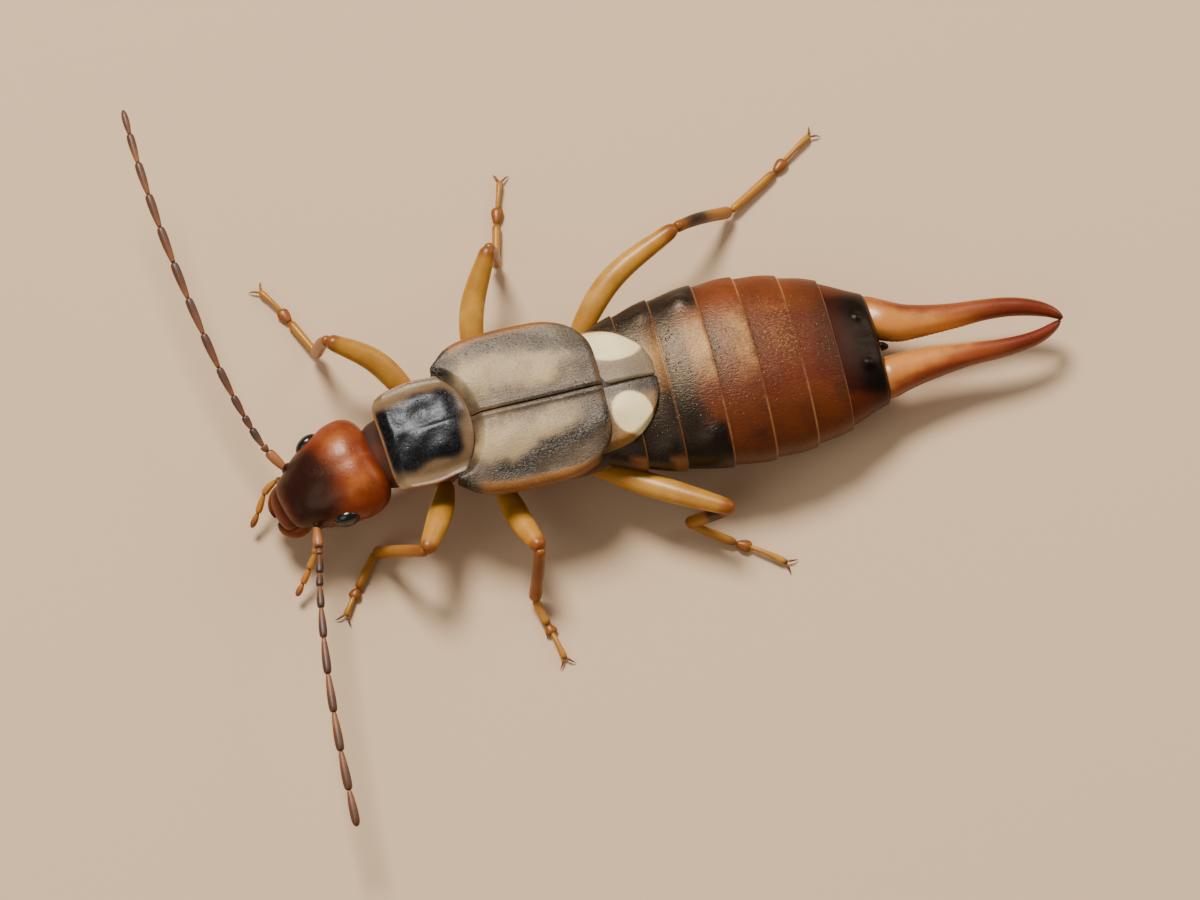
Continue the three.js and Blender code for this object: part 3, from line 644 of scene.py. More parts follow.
def makeFeelers():
    whole = len(feelerSizes["lengths"])
    for seed, (name, side) in enumerate(sides.items()):
        x, y, z = headSizes["socket"]
        root = headMatrix @ Vector((x + 0.06, -side * y, z))
        line = Line([root, *feelerSizes[name]])
        count = feelerSizes["count"][name]
        lengths = feelerSizes["lengths"][:count]
        total = sum(lengths)
        cuts = [sum(lengths[:i]) / total for i in range(count + 1)]
        bm = newShape()
        jointed(bm, line, cuts, feelerSizes["radii"], 14, tip=0.5 if count == whole else 0.75)
        core = feelerSizes["core"]
        thread = [(share, core, core, core) for share in evenly(0.004, 0.97, 80)]
        loft(bm, line, thread, around=6, part=threadPart)
        for i in range(count):
            low, high = cuts[i] + 0.006, cuts[i + 1] - 0.006
            roots = hairRoots(line, feelerSizes["radii"][i], low, high, int(60 * lengths[i]), seed * 50 + i)
            hairs(bm, roots, 0.06, 0.0035)

        def colourOf(place, run, part, cuts=cuts, count=count):
            i = min(max(bisect_right(cuts, run) - 1, 0), count - 1)
            share = (run - cuts[i]) / (cuts[i + 1] - cuts[i])
            if part == hairPart:
                return 0.1, 0.6, 0.0
            if part == threadPart:
                return 0.9, 0.0, 0.0
            far = i / (whole - 1)
            dark = mix(0.75, 0.25, min(far * 1.6, 1.0)) * mix(0.55, 1.0, smoothstep(0.1, 0.8, share))
            if i == 0:
                return smoothstep(0.8, 1.0, share) * 0.7, 0.0, 1.0
            if i == 1:
                return 0.45, 0.0, 0.6
            return dark, 0.25 * far * (1 - share), 0.5 * (1 - share)

        paint(bm, colourOf)
        finishPiece(bm, f"feeler_{name}", feelerHorn, [f"antenna_{name}"], smoothing=1)


# Pronotum

shieldSizes = {
    "front": -1.88,
    "rear": 0.05,
    "frontHalf": 1.05,
    "rearHalf": 1.24,
    "rearBulge": 0.44,
    "rearPinch": 0.1,
    "top": 2.32,
    "rise": 0.1,
    "marginDrop": 0.2,
    "cornerRound": 0.15,
    "thick": 0.05,
    "turn": math.radians(4.5),
}


def shieldPoint(run, v):
    # run goes from front to rear, v from left to right
    p = shieldSizes
    across = v * 2 - 1
    half = mix(p["frontHalf"], p["rearHalf"], run ** 0.6)
    half *= 1 - p["rearPinch"] * smoothstep(0.5, 1, run)
    reach = p["rearHalf"] * (1 - p["rearPinch"])
    rear = p["rear"] - p["rearBulge"] * abs(across * half / reach) ** 2.4
    front = p["front"] + p["cornerRound"] * abs(across) ** 8
    x = mix(front, rear, run)
    y = half * across
    dome = (1 - abs(across) ** 2.2) * smoothstep(1.04, 0.72, run) * mix(0.8, 1.0, smoothstep(0, 0.15, run))
    z = p["top"] + p["rise"] * run - p["marginDrop"] * abs(across) ** 2.2 + 0.1 * dome
    # the upturned rim and its gutter
    z += 0.045 * smoothstep(0.9, 1.0, abs(across)) - 0.03 * bell(abs(across), 0.82, 0.08)
    z -= 0.009 * bell(across, 0, 0.025) * smoothstep(0.3, 0.5, run) * smoothstep(0.9, 0.7, run)
    z -= 0.025 * bell(abs(across), 0.34, 0.2) * bell(run, 0.24, 0.14)
    z += 0.026 * ripple((x, y, 0), 2.8, 7.0) * smoothstep(0.8, 0.5, abs(across))  # uneven, as if hammered
    z -= 0.03 * smoothstep(0.97, 1.0, run) + 0.1 * smoothstep(0.16, 0.0, run)
    return x, y, z


def makeShield():
    bm = newShape()
    sheetOf(bm, 60, 72, shieldPoint, shieldSizes["thick"])

    def colourOf(place, run, part):
        x, y, z = place
        share = (x - shieldSizes["front"]) / (shieldSizes["rear"] - shieldSizes["front"])
        half = mix(1.05, 1.2, min(max(share, 0), 1))
        across = abs(y) / half
        edge = 0.1 * ripple(place, 2.5, 2.0)
        disc = smoothstep(0.84, 0.54, across + edge) * smoothstep(1.04, 0.8, share + edge + 0.1 * across)
        rim = smoothstep(0.93, 0.99, across) + 0.6 * smoothstep(0.955, 1.0, share + 0.22 * across ** 2.4)
        rim = max(rim, smoothstep(0.045, 0.015, share))
        pale = 0.6 * smoothstep(0.7, 0.9, across) * (1 - rim)
        # painted highlight spots on the disc, strongest at its rear right, where the light falls
        glint = disc * (0.1 + 0.9 * smoothstep(0.5, 1.0, share)) * smoothstep(-0.6, 0.8, y) + 0.2 * (1 - rim)
        return disc * (1 - 0.8 * min(rim, 1.0)), pale, min(rim, 1.0), glint

    paint(bm, colourOf)
    bm.transform(Matrix.Rotation(shieldSizes["turn"], 4, "Z"))
    finishPiece(bm, "shield", shieldHorn, ["pronotum"], smoothing=1)


# Wing covers and the folded wing tips behind them

coverSizes = {
    "rear": 2.87,
    "rearRound": 0.32,
    "seam": 0.004,
    "top": 2.47,
    "thick": 0.05,
    "foldDepth": 0.36,
    # share of length, half-width
    "outline": [(0.0, 1.30), (0.04, 1.48), (0.1, 1.62), (0.2, 1.73), (0.4, 1.79), (0.6, 1.79), (0.78, 1.76),
                (0.9, 1.64), (0.97, 1.5), (1.0, 1.38)],
    "wingTip": 4.08,
    "wingOutline": [
        (0.0, 1.4), (0.25, 1.36), (0.45, 1.3), (0.62, 1.18), (0.78, 0.98), (0.9, 0.76), (0.97, 0.56),
        (1.0, 0.4),
    ],
    "wingTop": 2.34,
    "wingThick": 0.04,
}


def rearEdge(y):
    p = shieldSizes
    reach = p["rearHalf"] * (1 - p["rearPinch"])
    return p["rear"] - p["rearBulge"] * abs(y / reach) ** 2.4 - y * math.sin(p["turn"])


def coverPoint(side, u, v):
    s = coverSizes
    half = curveOf(s["outline"], u)[0]
    flat = 0.82  # share of the width that lies on top; the rest rounds over and folds down
    curl = 0.13  # how wide the rounded shoulder is
    over = max(v - flat, 0) / (1 - flat)
    across = min(v / flat, 1.0)
    y = mix(s["seam"], half - curl, across) + curl * math.sin(min(over * 2.2, 1.0) * math.pi / 2)
    y -= 0.1 * smoothstep(0.45, 1.0, over)
    share = y / half
    z = s["top"] - 0.13 * share ** 2 - 0.04 * (1 - u) + 0.03 * bell(share, 0.45, 0.25)
    z -= 0.14 * (1 - math.cos(min(over * 2.2, 1.0) * math.pi / 2))
    z -= s["foldDepth"] * smoothstep(0.3, 1.0, over)
    front = max(-0.56, rearEdge(side * y) - 0.12)
    front += 0.1 * smoothstep(1.2, 1.45, y)
    rear = s["rear"] - s["rearRound"] * min(share, 1.0) ** 6
    x = mix(front, rear, u)
    z -= 0.17 * smoothstep(0.26, -0.05, x - rearEdge(side * y)) * smoothstep(1.3, 1.0, y)
    z += 0.02 * bell(y, 0.09, 0.05)  # a low ridge beside the seam
    z -= 0.02 * smoothstep(0.96, 1.0, u)
    z += 0.016 * ripple((x, side * y, 0), 2.2, 9.0) * smoothstep(1.0, 0.8, share)
    return x, side * y, z


def makeCovers():
    for name, side in sides.items():
        bm = newShape()
        sheetOf(bm, 76, 56, lambda u, v: coverPoint(side, u, v), coverSizes["thick"])

        def colourOf(place, run, part, side=side):
            x, y, z = place
            y = abs(y)
            share = (x + 0.3) / (coverSizes["rear"] + 0.3)
            half = curveOf(coverSizes["outline"], min(max(share, 0), 1))[0]
            across = y / half
            edge = 0.07 * ripple(place, 2.0, 3.0 + side)
            edge += 0.05 * ripple(place, 5.0, 5.0)
            middle = 0.5 - 0.14 * share if side > 0 else 0.52 - 0.26 * share
            patch = bell(across + edge, middle, 0.25) * smoothstep(-0.02, 0.2, share)
            patch *= smoothstep(0.92, 0.6, share + edge)
            margin = smoothstep(0.84, 0.95, across) * smoothstep(0.0, 0.15, share)
            rearRim = smoothstep(0.93, 0.99, share + 0.1 * across ** 6)
            seam = bell(y, 0, 0.03)
            centre = 0.9 - 0.5 * share if side < 0 else 0.95 - 0.4 * share
            band = bell(across + edge, centre, 0.17) * smoothstep(-0.05, 0.3, share)
            band *= 1.0 if side < 0 else 0.7
            inner = 0.6 * bell(across, 0.05, 0.08) * smoothstep(0.2, 0.6, share)
            shoulder = smoothstep(0.14, -0.05, share) * smoothstep(0.5, 0.8, across)
            dark = max(0.6 * seam, band, inner, 0.55 * smoothstep(0.72, 1.05, share + edge), shoulder)
            warm = max(margin, rearRim * 0.5, seam * smoothstep(0.6, 0.1, share))
            # painted highlight spots, thickest over the dark marks
            glint = 0.35 + 0.65 * smoothstep(0.5, 0.9, dark) * (1 - margin)
            return dark * (1 - margin * 0.85), patch * (1 - margin) * 1.15, warm, glint

        paint(bm, colourOf)
        finishPiece(bm, f"cover_{name}", coverHorn, [f"tegmen_{name}"], smoothing=1)


def wingPoint(side, u, v):
    s = coverSizes
    half = curveOf(s["wingOutline"], u)[0]
    y = half * v
    x = mix(s["rear"] - 0.4, s["wingTip"] - 0.1 * v ** 3, u)
    share = y / 1.45
    z = s["wingTop"] - 0.12 * share ** 2 + 0.04 * bell(u, 0.6, 0.3) - 0.16 * smoothstep(0.85, 1.0, v) ** 2
    z -= 0.04 * bell(y, 0, 0.03) - 0.03 * bell(share, 0.42, 0.2)
    z -= 0.08 * smoothstep(0.88, 1.0, u) ** 2
    return x, side * y, z - 0.012 * (side > 0)  # the right wing lies a little lower


def makeWings():
    for name, side in sides.items():
        bm = newShape()
        sheetOf(bm, 46, 40, lambda u, v: wingPoint(side, u, v), coverSizes["wingThick"])

        def colourOf(place, run, part, side=side):
            x, y, z = place
            y = abs(y)
            edge = 0.05 * ripple(place, 3.0, 6.0)
            if side > 0:
                # a long oval spot that reaches the cover's edge
                spot = math.hypot((x - 3.12) / 0.72, (y - 0.88 + 0.22 * (x - 3.12)) / 0.36)
            else:
                # a rounder spot, cut off by brown in front
                spot = math.hypot((x - 3.34) / 0.42, (y - 0.7 - 0.1 * (x - 3.3)) / 0.46)
            spot = smoothstep(1.12, 0.88, spot + edge)
            outer = smoothstep(0.95, 1.2, y + 0.35 * max(x - 3.3, 0))
            inner = smoothstep(0.55, 0.15, y) * (1 if side < 0 else 0.3)
            rear = (0.7 if side < 0 else 0.25) * smoothstep(3.72, 4.0, x)
            root = (0.5 if side < 0 else 0.15) * smoothstep(3.05, 2.85, x)
            # the last mark lays painted highlight spots evenly over the wing tip
            return max(inner, rear, root) * (1 - spot), spot, max(outer, 0.6 * (side < 0)), 0.5

        paint(bm, colourOf)
        finishPiece(bm, f"wingTip_{name}", wingHorn, [f"wing_{name}"], smoothing=1)


# Thorax, neck and abdomen

trunkSizes = {
    # x, centre height, half-width, reach up, reach down
    "neck": [(-2.3, 1.5, 0.5, 0.3, 0.34), (-2.1, 1.52, 0.68, 0.38, 0.38), (-1.9, 1.52, 0.76, 0.5, 0.38),
             (-1.7, 1.54, 0.8, 0.58, 0.4), (-1.5, 1.52, 0.7, 0.56, 0.4)],
    "prothorax": [(-1.72, 1.5, 0.64, 0.64, 0.44), (-1.55, 1.48, 0.8, 0.7, 0.5), (-1.0, 1.42, 0.9, 0.8, 0.6),
                  (-0.45, 1.42, 0.94, 0.84, 0.62), (-0.02, 1.42, 0.9, 0.8, 0.56)],
    "thorax": [(-0.14, 1.42, 0.92, 0.82, 0.52), (0.3, 1.42, 1.22, 0.9, 0.62), (0.9, 1.42, 1.45, 0.93, 0.66),
               (1.3, 1.42, 1.42, 0.93, 0.62), (1.8, 1.42, 1.52, 0.93, 0.66), (2.5, 1.44, 1.5, 0.92, 0.64),
               (3.1, 1.48, 1.42, 0.86, 0.6)],
}
bellySizes = {
    "edges": [2.62, 3.46, 4.26, 5.25, 6.15, 7.08, 7.9],
    "lip": 0.03,
    "shape": [(2.5, 1.56, 1.4, 0.56, 0.6), (2.9, 1.56, 1.52, 0.6, 0.64), (3.5, 1.55, 1.71, 0.66, 0.7),
              (4.0, 1.53, 1.83, 0.72, 0.76), (4.35, 1.52, 1.89, 0.85, 0.79), (5.2, 1.48, 1.99, 0.92, 0.84),
              (6.1, 1.42, 2.01, 0.94, 0.85),
              (7.0, 1.34, 1.89, 0.9, 0.78), (7.9, 1.25, 1.62, 0.8, 0.66), (8.5, 1.17, 1.36, 0.68, 0.54),
              (8.9, 1.12, 1.2, 0.56, 0.44)],
    "around": 84,
}


def tailDrift(x):
    return -0.02 * max(0.0, x - 5) ** 1.2


def trunkOf(bm, rows, steps, around=48, drift=lambda x: 0.0, square=0.92, part=0.0):
    first, last = rows[0][0], rows[-1][0]
    line = Line([(first, 0, 0), (last, 0, 0)])
    rings, heights = [], []
    for x in steps:
        height, half, top, bottom = curveOf(rows, x)
        rings.append(((x - first) / (last - first), half, top, bottom))
        heights.append((x, height))
    verts = loft(bm, line, rings, around=around, square=square, part=part)
    for v in verts:
        x = v.co.x
        v.co.y += drift(x)
        v.co.z += curveOf(rows, x)[0]
    return verts


def makeTrunk():
    bm = newShape()
    rows = trunkSizes["neck"]
    verts = trunkOf(bm, rows, evenly(rows[0][0], rows[-1][0], 12), around=36)
    for v in verts:
        v.co.y -= 0.1  # towards the head, which turns to the left
        v.co.z -= 0.015 * bell(v.co.x, -1.98, 0.04)
    paint(bm, lambda place, run, part: (0.65 + 0.3 * ripple(place, 2.5, 3.0), 0.2 * ripple(place, 3.0), 0.8))
    finishPiece(bm, "neckSkin", softSkin, ["neck"], smoothing=1)
    for name, count in (("prothorax", 18), ("thorax", 30)):
        bm = newShape()
        rows = trunkSizes[name]
        trunkOf(bm, rows, evenly(rows[0][0], rows[-1][0], count))
        for v in bm.verts:
            x, y, z = v.co
            if z < 1.3:
                v.co.z += 0.04 * max(bell(x, place, 0.05) for place in (-0.9, 0.75, 1.55, 2.35))
                v.co.z += 0.05 * bell(y, 0, 0.05)
        paint(bm, lambda place, run, part: (
            0.9 * smoothstep(1.3, 1.7, place.z), 0.35 + 0.2 * ripple(place, 2.0), 0.3))
        finishPiece(bm, f"{name}Skin", softSkin, [name], smoothing=1)


def bellyOffset(x):
    # each plate rises a little towards its rear lip and stands over the next
    edges = bellySizes["edges"]
    i = bisect_right(edges, x - 1e-6)
    if i in (0, len(edges)):
        return 0.0
    share = (x - edges[i - 1]) / (edges[i] - edges[i - 1])
    lift = bellySizes["lip"] * (0.25 + 0.75 * smoothstep(0.0, 0.75, share))
    return lift - 0.02 * smoothstep(0.975, 1.0, share)


def makeBelly():
    bm = newShape()
    edges = bellySizes["edges"]
    steps = []
    for low, high in zip(edges, edges[1:]):
        for share in (0.0, 0.03, 0.08, 0.18, 0.32, 0.46, 0.6, 0.74, 0.85, 0.92, 0.955, 0.975, 0.99):
            steps.append(mix(low, high, share))
    steps.append(edges[-1] - 0.004)
    rows = bellySizes["shape"]
    verts = trunkOf(bm, rows, steps, around=bellySizes["around"], drift=tailDrift)
    for v in verts:
        x, y, z = v.co
        height, half, top, bottom = curveOf(rows, x)
        y -= tailDrift(x)
        out = Vector((0, y / half, (z - height) / top)).normalized()
        angle = math.degrees(math.atan2(z - height, abs(y)))
        v.co += out * bellyOffset(x) * (1 + 1.3 * bell(angle, 5, 22))  # the plates' rear corners stand out
        v.co -= out * 0.045 * bell(angle, -16, 5)  # the fold between back and belly plates
        v.co += out * 0.012 * bell(angle, -8, 4)
        if z > height:
            # glossy swellings near the rear corners of two dark plates
            v.co += out * 0.1 * bell(x, 4.9, 0.17) * bell(abs(y), 1.5, 0.15)
            v.co += out * 0.05 * bell(x, 3.98, 0.14) * bell(abs(y), 1.42, 0.13)

    def colourOf(place, run, part):
        x, y, z = place
        height, half, top, bottom = curveOf(rows, x)
        i = min(max(bisect_right(edges, x - 0.004) - 1, 0), len(edges) - 2)
        share = (x - edges[i]) / (edges[i + 1] - edges[i])
        across = abs(y - tailDrift(x)) / half
        wave = 0.3 * ripple(place, 1.4, 8.0)
        front = smoothstep(5.3, 4.5, x + wave)
        sideDark = smoothstep(5.45, 5.1, x + 0.1 * ripple(place, 2.0)) * smoothstep(0.5, 0.75, across)
        # the band just right of the midline, where the light falls: the painted sheen and highlight spots go
        # there, and the plates' dark roots are strongest in it
        middle = bell(y - tailDrift(x) - 0.35, 0, 0.75) * (z > height)
        rear = 0.5 * smoothstep(6.9, 7.9, x)
        rim = smoothstep(0.966, 0.98, share)
        root = smoothstep(0.45, 0.1, share + 0.12 * ripple(place, 2.5, 1.0))
        root *= smoothstep(7.4, 4.4, x) * (0.25 + 0.75 * middle)
        shaded = 0.42 * smoothstep(-0.4, -1.3, y - tailDrift(x))
        dark = max(front * 0.97, sideDark, rear, 0.85 * root, shaded)
        under = z < height - 0.25 * bottom
        sidePatch = (-0.2 > (z - height) / bottom > -0.75) * smoothstep(0.25, 0.5, share)
        # painted sheen: light on the short hairs of the back, laid as pale colour on the rear of each plate
        # in that band
        paintedSheen = middle * smoothstep(0.25, 0.7, share) * smoothstep(7.6, 4.6, x)
        paintedSheen *= 0.75 + 0.5 * ripple(place, 2.0)
        # pale corners of the front plates, on the left side only
        corner = smoothstep(0.88, 0.98, across) * smoothstep(0.35, 0.8, share + 0.3 * ripple(place, 4.0, 2.0))
        corner *= smoothstep(4.7, 4.3, x) * (y < 0)
        pale = max(rim * mix(0.1, 0.6, across), 0.7 * sidePatch if under else 0.0, paintedSheen, 0.42 * corner)
        warm = smoothstep(0.3, 0.6, across) * 0.9
        dark *= 1 - max(0.6 * rim, 0.75 * paintedSheen, 0.6 * corner)
        # painted highlight spots in the same band
        glint = middle * (0.4 + 0.6 * smoothstep(0.35, 0.85, share)) * smoothstep(7.9, 6.6, x)
        if under:
            dark *= 0.55
        return dark, pale, warm, glint

    paint(bm, colourOf)
    finishPiece(bm, "bellyRings", bellyHorn, ["abdomen"], smoothing=0)


tailSizes = {
    "knobs": (8.5, 0.54, 0.13),  # place along the body, place across, size
}


def makeTail():
    bm = newShape()
    rows = bellySizes["shape"]
    steps = [*evenly(7.78, 8.7, 26), 8.74, 8.78, 8.81, 8.84, 8.86, 8.875, 8.885]
    verts = trunkOf(bm, rows, steps, around=110, drift=tailDrift, square=0.9)
    knobX, knobY, knobSize = tailSizes["knobs"]
    for v in verts:
        x, y, z = v.co
        height = curveOf(rows, x)[0]
        y -= tailDrift(x)
        shrink = 1 - 0.55 * smoothstep(8.74, 8.89, x) ** 2
        v.co.y = tailDrift(x) + y * mix(1.0, shrink, 0.35)
        v.co.z = height + (z - height) * shrink
        if z > height:
            v.co.z -= 0.03 * bell(y, 0, 0.12) * smoothstep(8.0, 8.5, x)
            v.co.z += 0.07 * bell(x, knobX, knobSize * 0.8) * bell(abs(y), knobY, knobSize * 0.7)
            v.co.z += 0.03 * bell(x, 8.66, 0.14) * bell(abs(y), 0.6, 0.4)
    # the small plate between the pincers' roots
    y = tailDrift(8.9)
    ball(bm, (8.9, y, 1.2), (0.14, 0.1, 0.13), part=1, across=20, down=12)
    ball(bm, (8.98, y, 1.14), (0.1, 0.07, 0.1), part=1, across=16, down=10)

    def colourOf(place, run, part):
        x, y, z = place
        band = smoothstep(7.9, 8.45, x + 0.1 * ripple(place, 2.5, 5.0))
        side = smoothstep(0.95, 1.25, abs(y - tailDrift(x)))
        if part == 1:
            return 0.9, 0.0, 0.0
        return band * (1 - 0.55 * side) * 0.92, 0.0, side * 0.9

    paint(bm, colourOf)
    finishPiece(bm, "tailPlate", tailHorn, ["last_plate"], smoothing=1)


# Pincers: x, y, half-width, half-height

pincerSizes = {
    "height": [(8.5, 1.12), (12.9, 1.04)],
    "right": [
        (8.56, 0.7, 0.48, 0.26), (8.78, 0.64, 0.47, 0.28), (8.95, 0.56, 0.46, 0.31),
        (9.12, 0.48, 0.45, 0.32), (9.4, 0.37, 0.43, 0.3), (9.7, 0.32, 0.385, 0.28),
        (10.1, 0.28, 0.33, 0.26), (10.6, 0.25, 0.28, 0.24), (11.25, 0.24, 0.23, 0.22),
        (11.7, 0.2, 0.21, 0.2), (12.1, 0.11, 0.19, 0.19), (12.4, 0.0, 0.165, 0.16),
        (12.62, -0.12, 0.13, 0.13), (12.76, -0.24, 0.09, 0.09), (12.83, -0.34, 0.04, 0.04),
    ],
    "left": [
        (8.54, -0.82, 0.44, 0.28), (8.74, -0.8, 0.45, 0.3), (8.92, -0.78, 0.46, 0.34),
        (9.12, -0.74, 0.44, 0.33), (9.5, -0.69, 0.4, 0.3), (9.9, -0.66, 0.36, 0.28),
        (10.3, -0.65, 0.31, 0.26), (10.8, -0.66, 0.25, 0.24), (11.3, -0.69, 0.21, 0.22),
        (11.75, -0.68, 0.18, 0.2), (12.15, -0.63, 0.155, 0.17), (12.45, -0.54, 0.125, 0.14),
        (12.66, -0.44, 0.085, 0.1), (12.78, -0.36, 0.03, 0.03),
    ],
    "teeth": 0.006,
    "toothPace": 57,
}


def makePincers():
    for name, side in sides.items():
        rows = pincerSizes[name]
        places = [(x, y, curveOf(pincerSizes["height"], x)[0]) for x, y, _, _ in rows]
        line = Line(places)
        span = line.run[-1]
        marks = [line.run[min(i * 20, len(line.run) - 1)] / span for i in range(len(rows))]
        table = [(mark, wide, tall) for mark, (_, _, wide, tall) in zip(marks, rows)]
        rings = []
        for share, wide, tall in tableRings(table, 200):
            rings.append((share, max(wide, 0.01), max(tall, 0.01), max(tall, 0.01)))
        bm = newShape()
        verts = loft(bm, line, rings, around=32, square=0.94)
        for v in verts:
            centre, ahead = line.at(v[bm.verts.layers.float["run"]])
            inward = -side * (v.co.y - centre.y)
            x = v.co.x
            if inward > 0:
                wide = curveOf(table, v[bm.verts.layers.float["run"]])[0]
                keen = smoothstep(0.5, 1.0, inward / max(wide, 0.01)) * smoothstep(11.6, 10.6, x)
                # the inner side is pressed to an edge with small blunt teeth
                v.co.z = mix(v.co.z, centre.z, 0.45 * keen)
                tooth = math.sin(x * pincerSizes["toothPace"])
                tooth *= smoothstep(9.0, 9.2, x) * smoothstep(11.4, 10.6, x)
                v.co.y -= side * pincerSizes["teeth"] * keen * tooth

        def colourOf(place, run, part, line=line, side=side):
            outward = side * (place.y - line.at(run)[0].y) / 0.3
            dark = 0.6 * smoothstep(0.93, 1.0, run) + 0.35 * smoothstep(-0.8, -1.15, outward)
            pale = smoothstep(0.62, 0.15, run + 0.2 * outward)
            warm = max(smoothstep(0.4, 0.85, run), 0.7 * smoothstep(0.3, 0.9, outward))
            return dark, pale * (1 - 0.7 * warm), warm

        paint(bm, colourOf)
        finishPiece(bm, f"pincer_{name}", pincerHorn, [f"forceps_{name}"], smoothing=1)


# Legs: the joints of each, from hip to last claw joint

footHeight = 0.1
legSizes = {
    "front_right": [
        (-0.8, 0.4, 1.2), (-0.86, 1.0, 0.95), (-1.56, 1.96, 1.48), (-2.48, 2.54, 1.86), (-2.7, 2.94, 0.22),
        (-3.1, 3.82), (-3.24, 4.14), (-3.58, 4.67),
    ],
    "front_left": [
        (-0.8, -0.4, 1.2), (-0.66, -0.92, 0.98), (-1.04, -1.74, 1.54), (-1.5, -2.56, 1.9),
        (-2.46, -1.74, 0.22), (-3.0, -2.41), (-3.14, -2.6), (-3.37, -2.93),
    ],
    "middle_right": [
        (0.42, 0.6, 1.15), (0.44, 1.4, 0.9), (0.66, 2.62, 1.38), (1.33, 3.82, 1.85), (1.5, 4.04, 0.22),
        (1.73, 4.99), (1.84, 5.36), (2.03, 5.95),
    ],
    "middle_left": [
        (0.36, -0.6, 1.15), (0.42, -1.2, 0.9), (0.58, -2.1, 1.36), (0.84, -3.0, 1.75), (0.56, -3.54, 0.22),
        (0.7, -4.13), (0.76, -4.35), (0.88, -4.93),
    ],
    "hind_right": [
        (2.0, 0.6, 1.15), (2.42, 1.34, 0.92), (3.66, 2.62, 1.38), (5.33, 3.43, 1.6), (6.68, 4.03, 0.22),
        (7.87, 4.76), (8.15, 4.98), (8.82, 5.42),
    ],
    "hind_left": [
        (2.0, -0.6, 1.15), (2.34, -1.24, 0.9), (3.6, -2.1, 1.26), (5.0, -2.98, 1.42), (4.08, -2.66, 0.22),
        (4.99, -3.3), (5.28, -3.46), (5.93, -3.97),
    ],
    "coxa": [
        (0.0, 0.38, 0.34, 0.34), (0.4, 0.36, 0.32, 0.32), (0.8, 0.25, 0.24, 0.24), (1.0, 0.14, 0.14, 0.14),
    ],
    "femur": [
        (0.0, 0.08, 0.08, 0.08), (0.03, 0.15, 0.13, 0.13), (0.12, 0.2, 0.16, 0.16), (0.3, 0.255, 0.2, 0.2),
        (0.5, 0.265, 0.21, 0.21), (0.72, 0.235, 0.19, 0.19), (0.9, 0.19, 0.165, 0.165),
        (0.97, 0.165, 0.14, 0.14), (1.0, 0.09, 0.08, 0.08),
    ],
    "tibia": [
        (0.0, 0.09, 0.09, 0.09), (0.05, 0.13, 0.14, 0.14), (0.12, 0.12, 0.13, 0.13),
        (0.3, 0.13, 0.14, 0.14), (0.7, 0.135, 0.14, 0.14), (0.92, 0.14, 0.14, 0.14),
        (0.98, 0.12, 0.12, 0.12), (1.0, 0.06, 0.06, 0.06),
    ],
    "foot": [
        (0.0, 0.05, 0.05, 0.05), (0.04, 0.085, 0.09, 0.085), (0.3, 0.09, 0.095, 0.09),
        (0.8, 0.098, 0.1, 0.095), (0.96, 0.085, 0.09, 0.085), (1.0, 0.04, 0.04, 0.04),
    ],
    "pad": [
        (0.0, 0.045, 0.045, 0.045), (0.12, 0.08, 0.07, 0.07), (0.55, 0.135, 0.085, 0.085),
        (0.85, 0.125, 0.075, 0.075), (1.0, 0.05, 0.04, 0.04),
    ],
    "toe": [
        (0.0, 0.035, 0.035, 0.035), (0.1, 0.052, 0.055, 0.055), (0.55, 0.06, 0.062, 0.062),
        (0.88, 0.078, 0.078, 0.075), (1.0, 0.045, 0.045, 0.045),
    ],
    "claw": [(0, 0.03, 0.03, 0.03), (0.3, 0.025, 0.027, 0.025), (0.7, 0.014, 0.016, 0.014),
             (1, 0.003, 0.003, 0.003)],
    # shin, foot, pad, toe and femur: radius, from, to, how many hairs, their length, their thickness
    "hairs": [(0.135, 0.25, 0.97, 80, 0.09, 0.004), (0.09, 0.05, 0.98, 120, 0.09, 0.0042),
              (0.1, 0.2, 0.95, 50, 0.08, 0.004), (0.06, 0.2, 0.95, 40, 0.07, 0.0035),
              (0.2, 0.25, 0.95, 60, 0.06, 0.0035)],
    # how dark the band near each shin's root is
    "darkBand": {"front": 0.1, "middle": 0.4, "hind": 1.0},
}


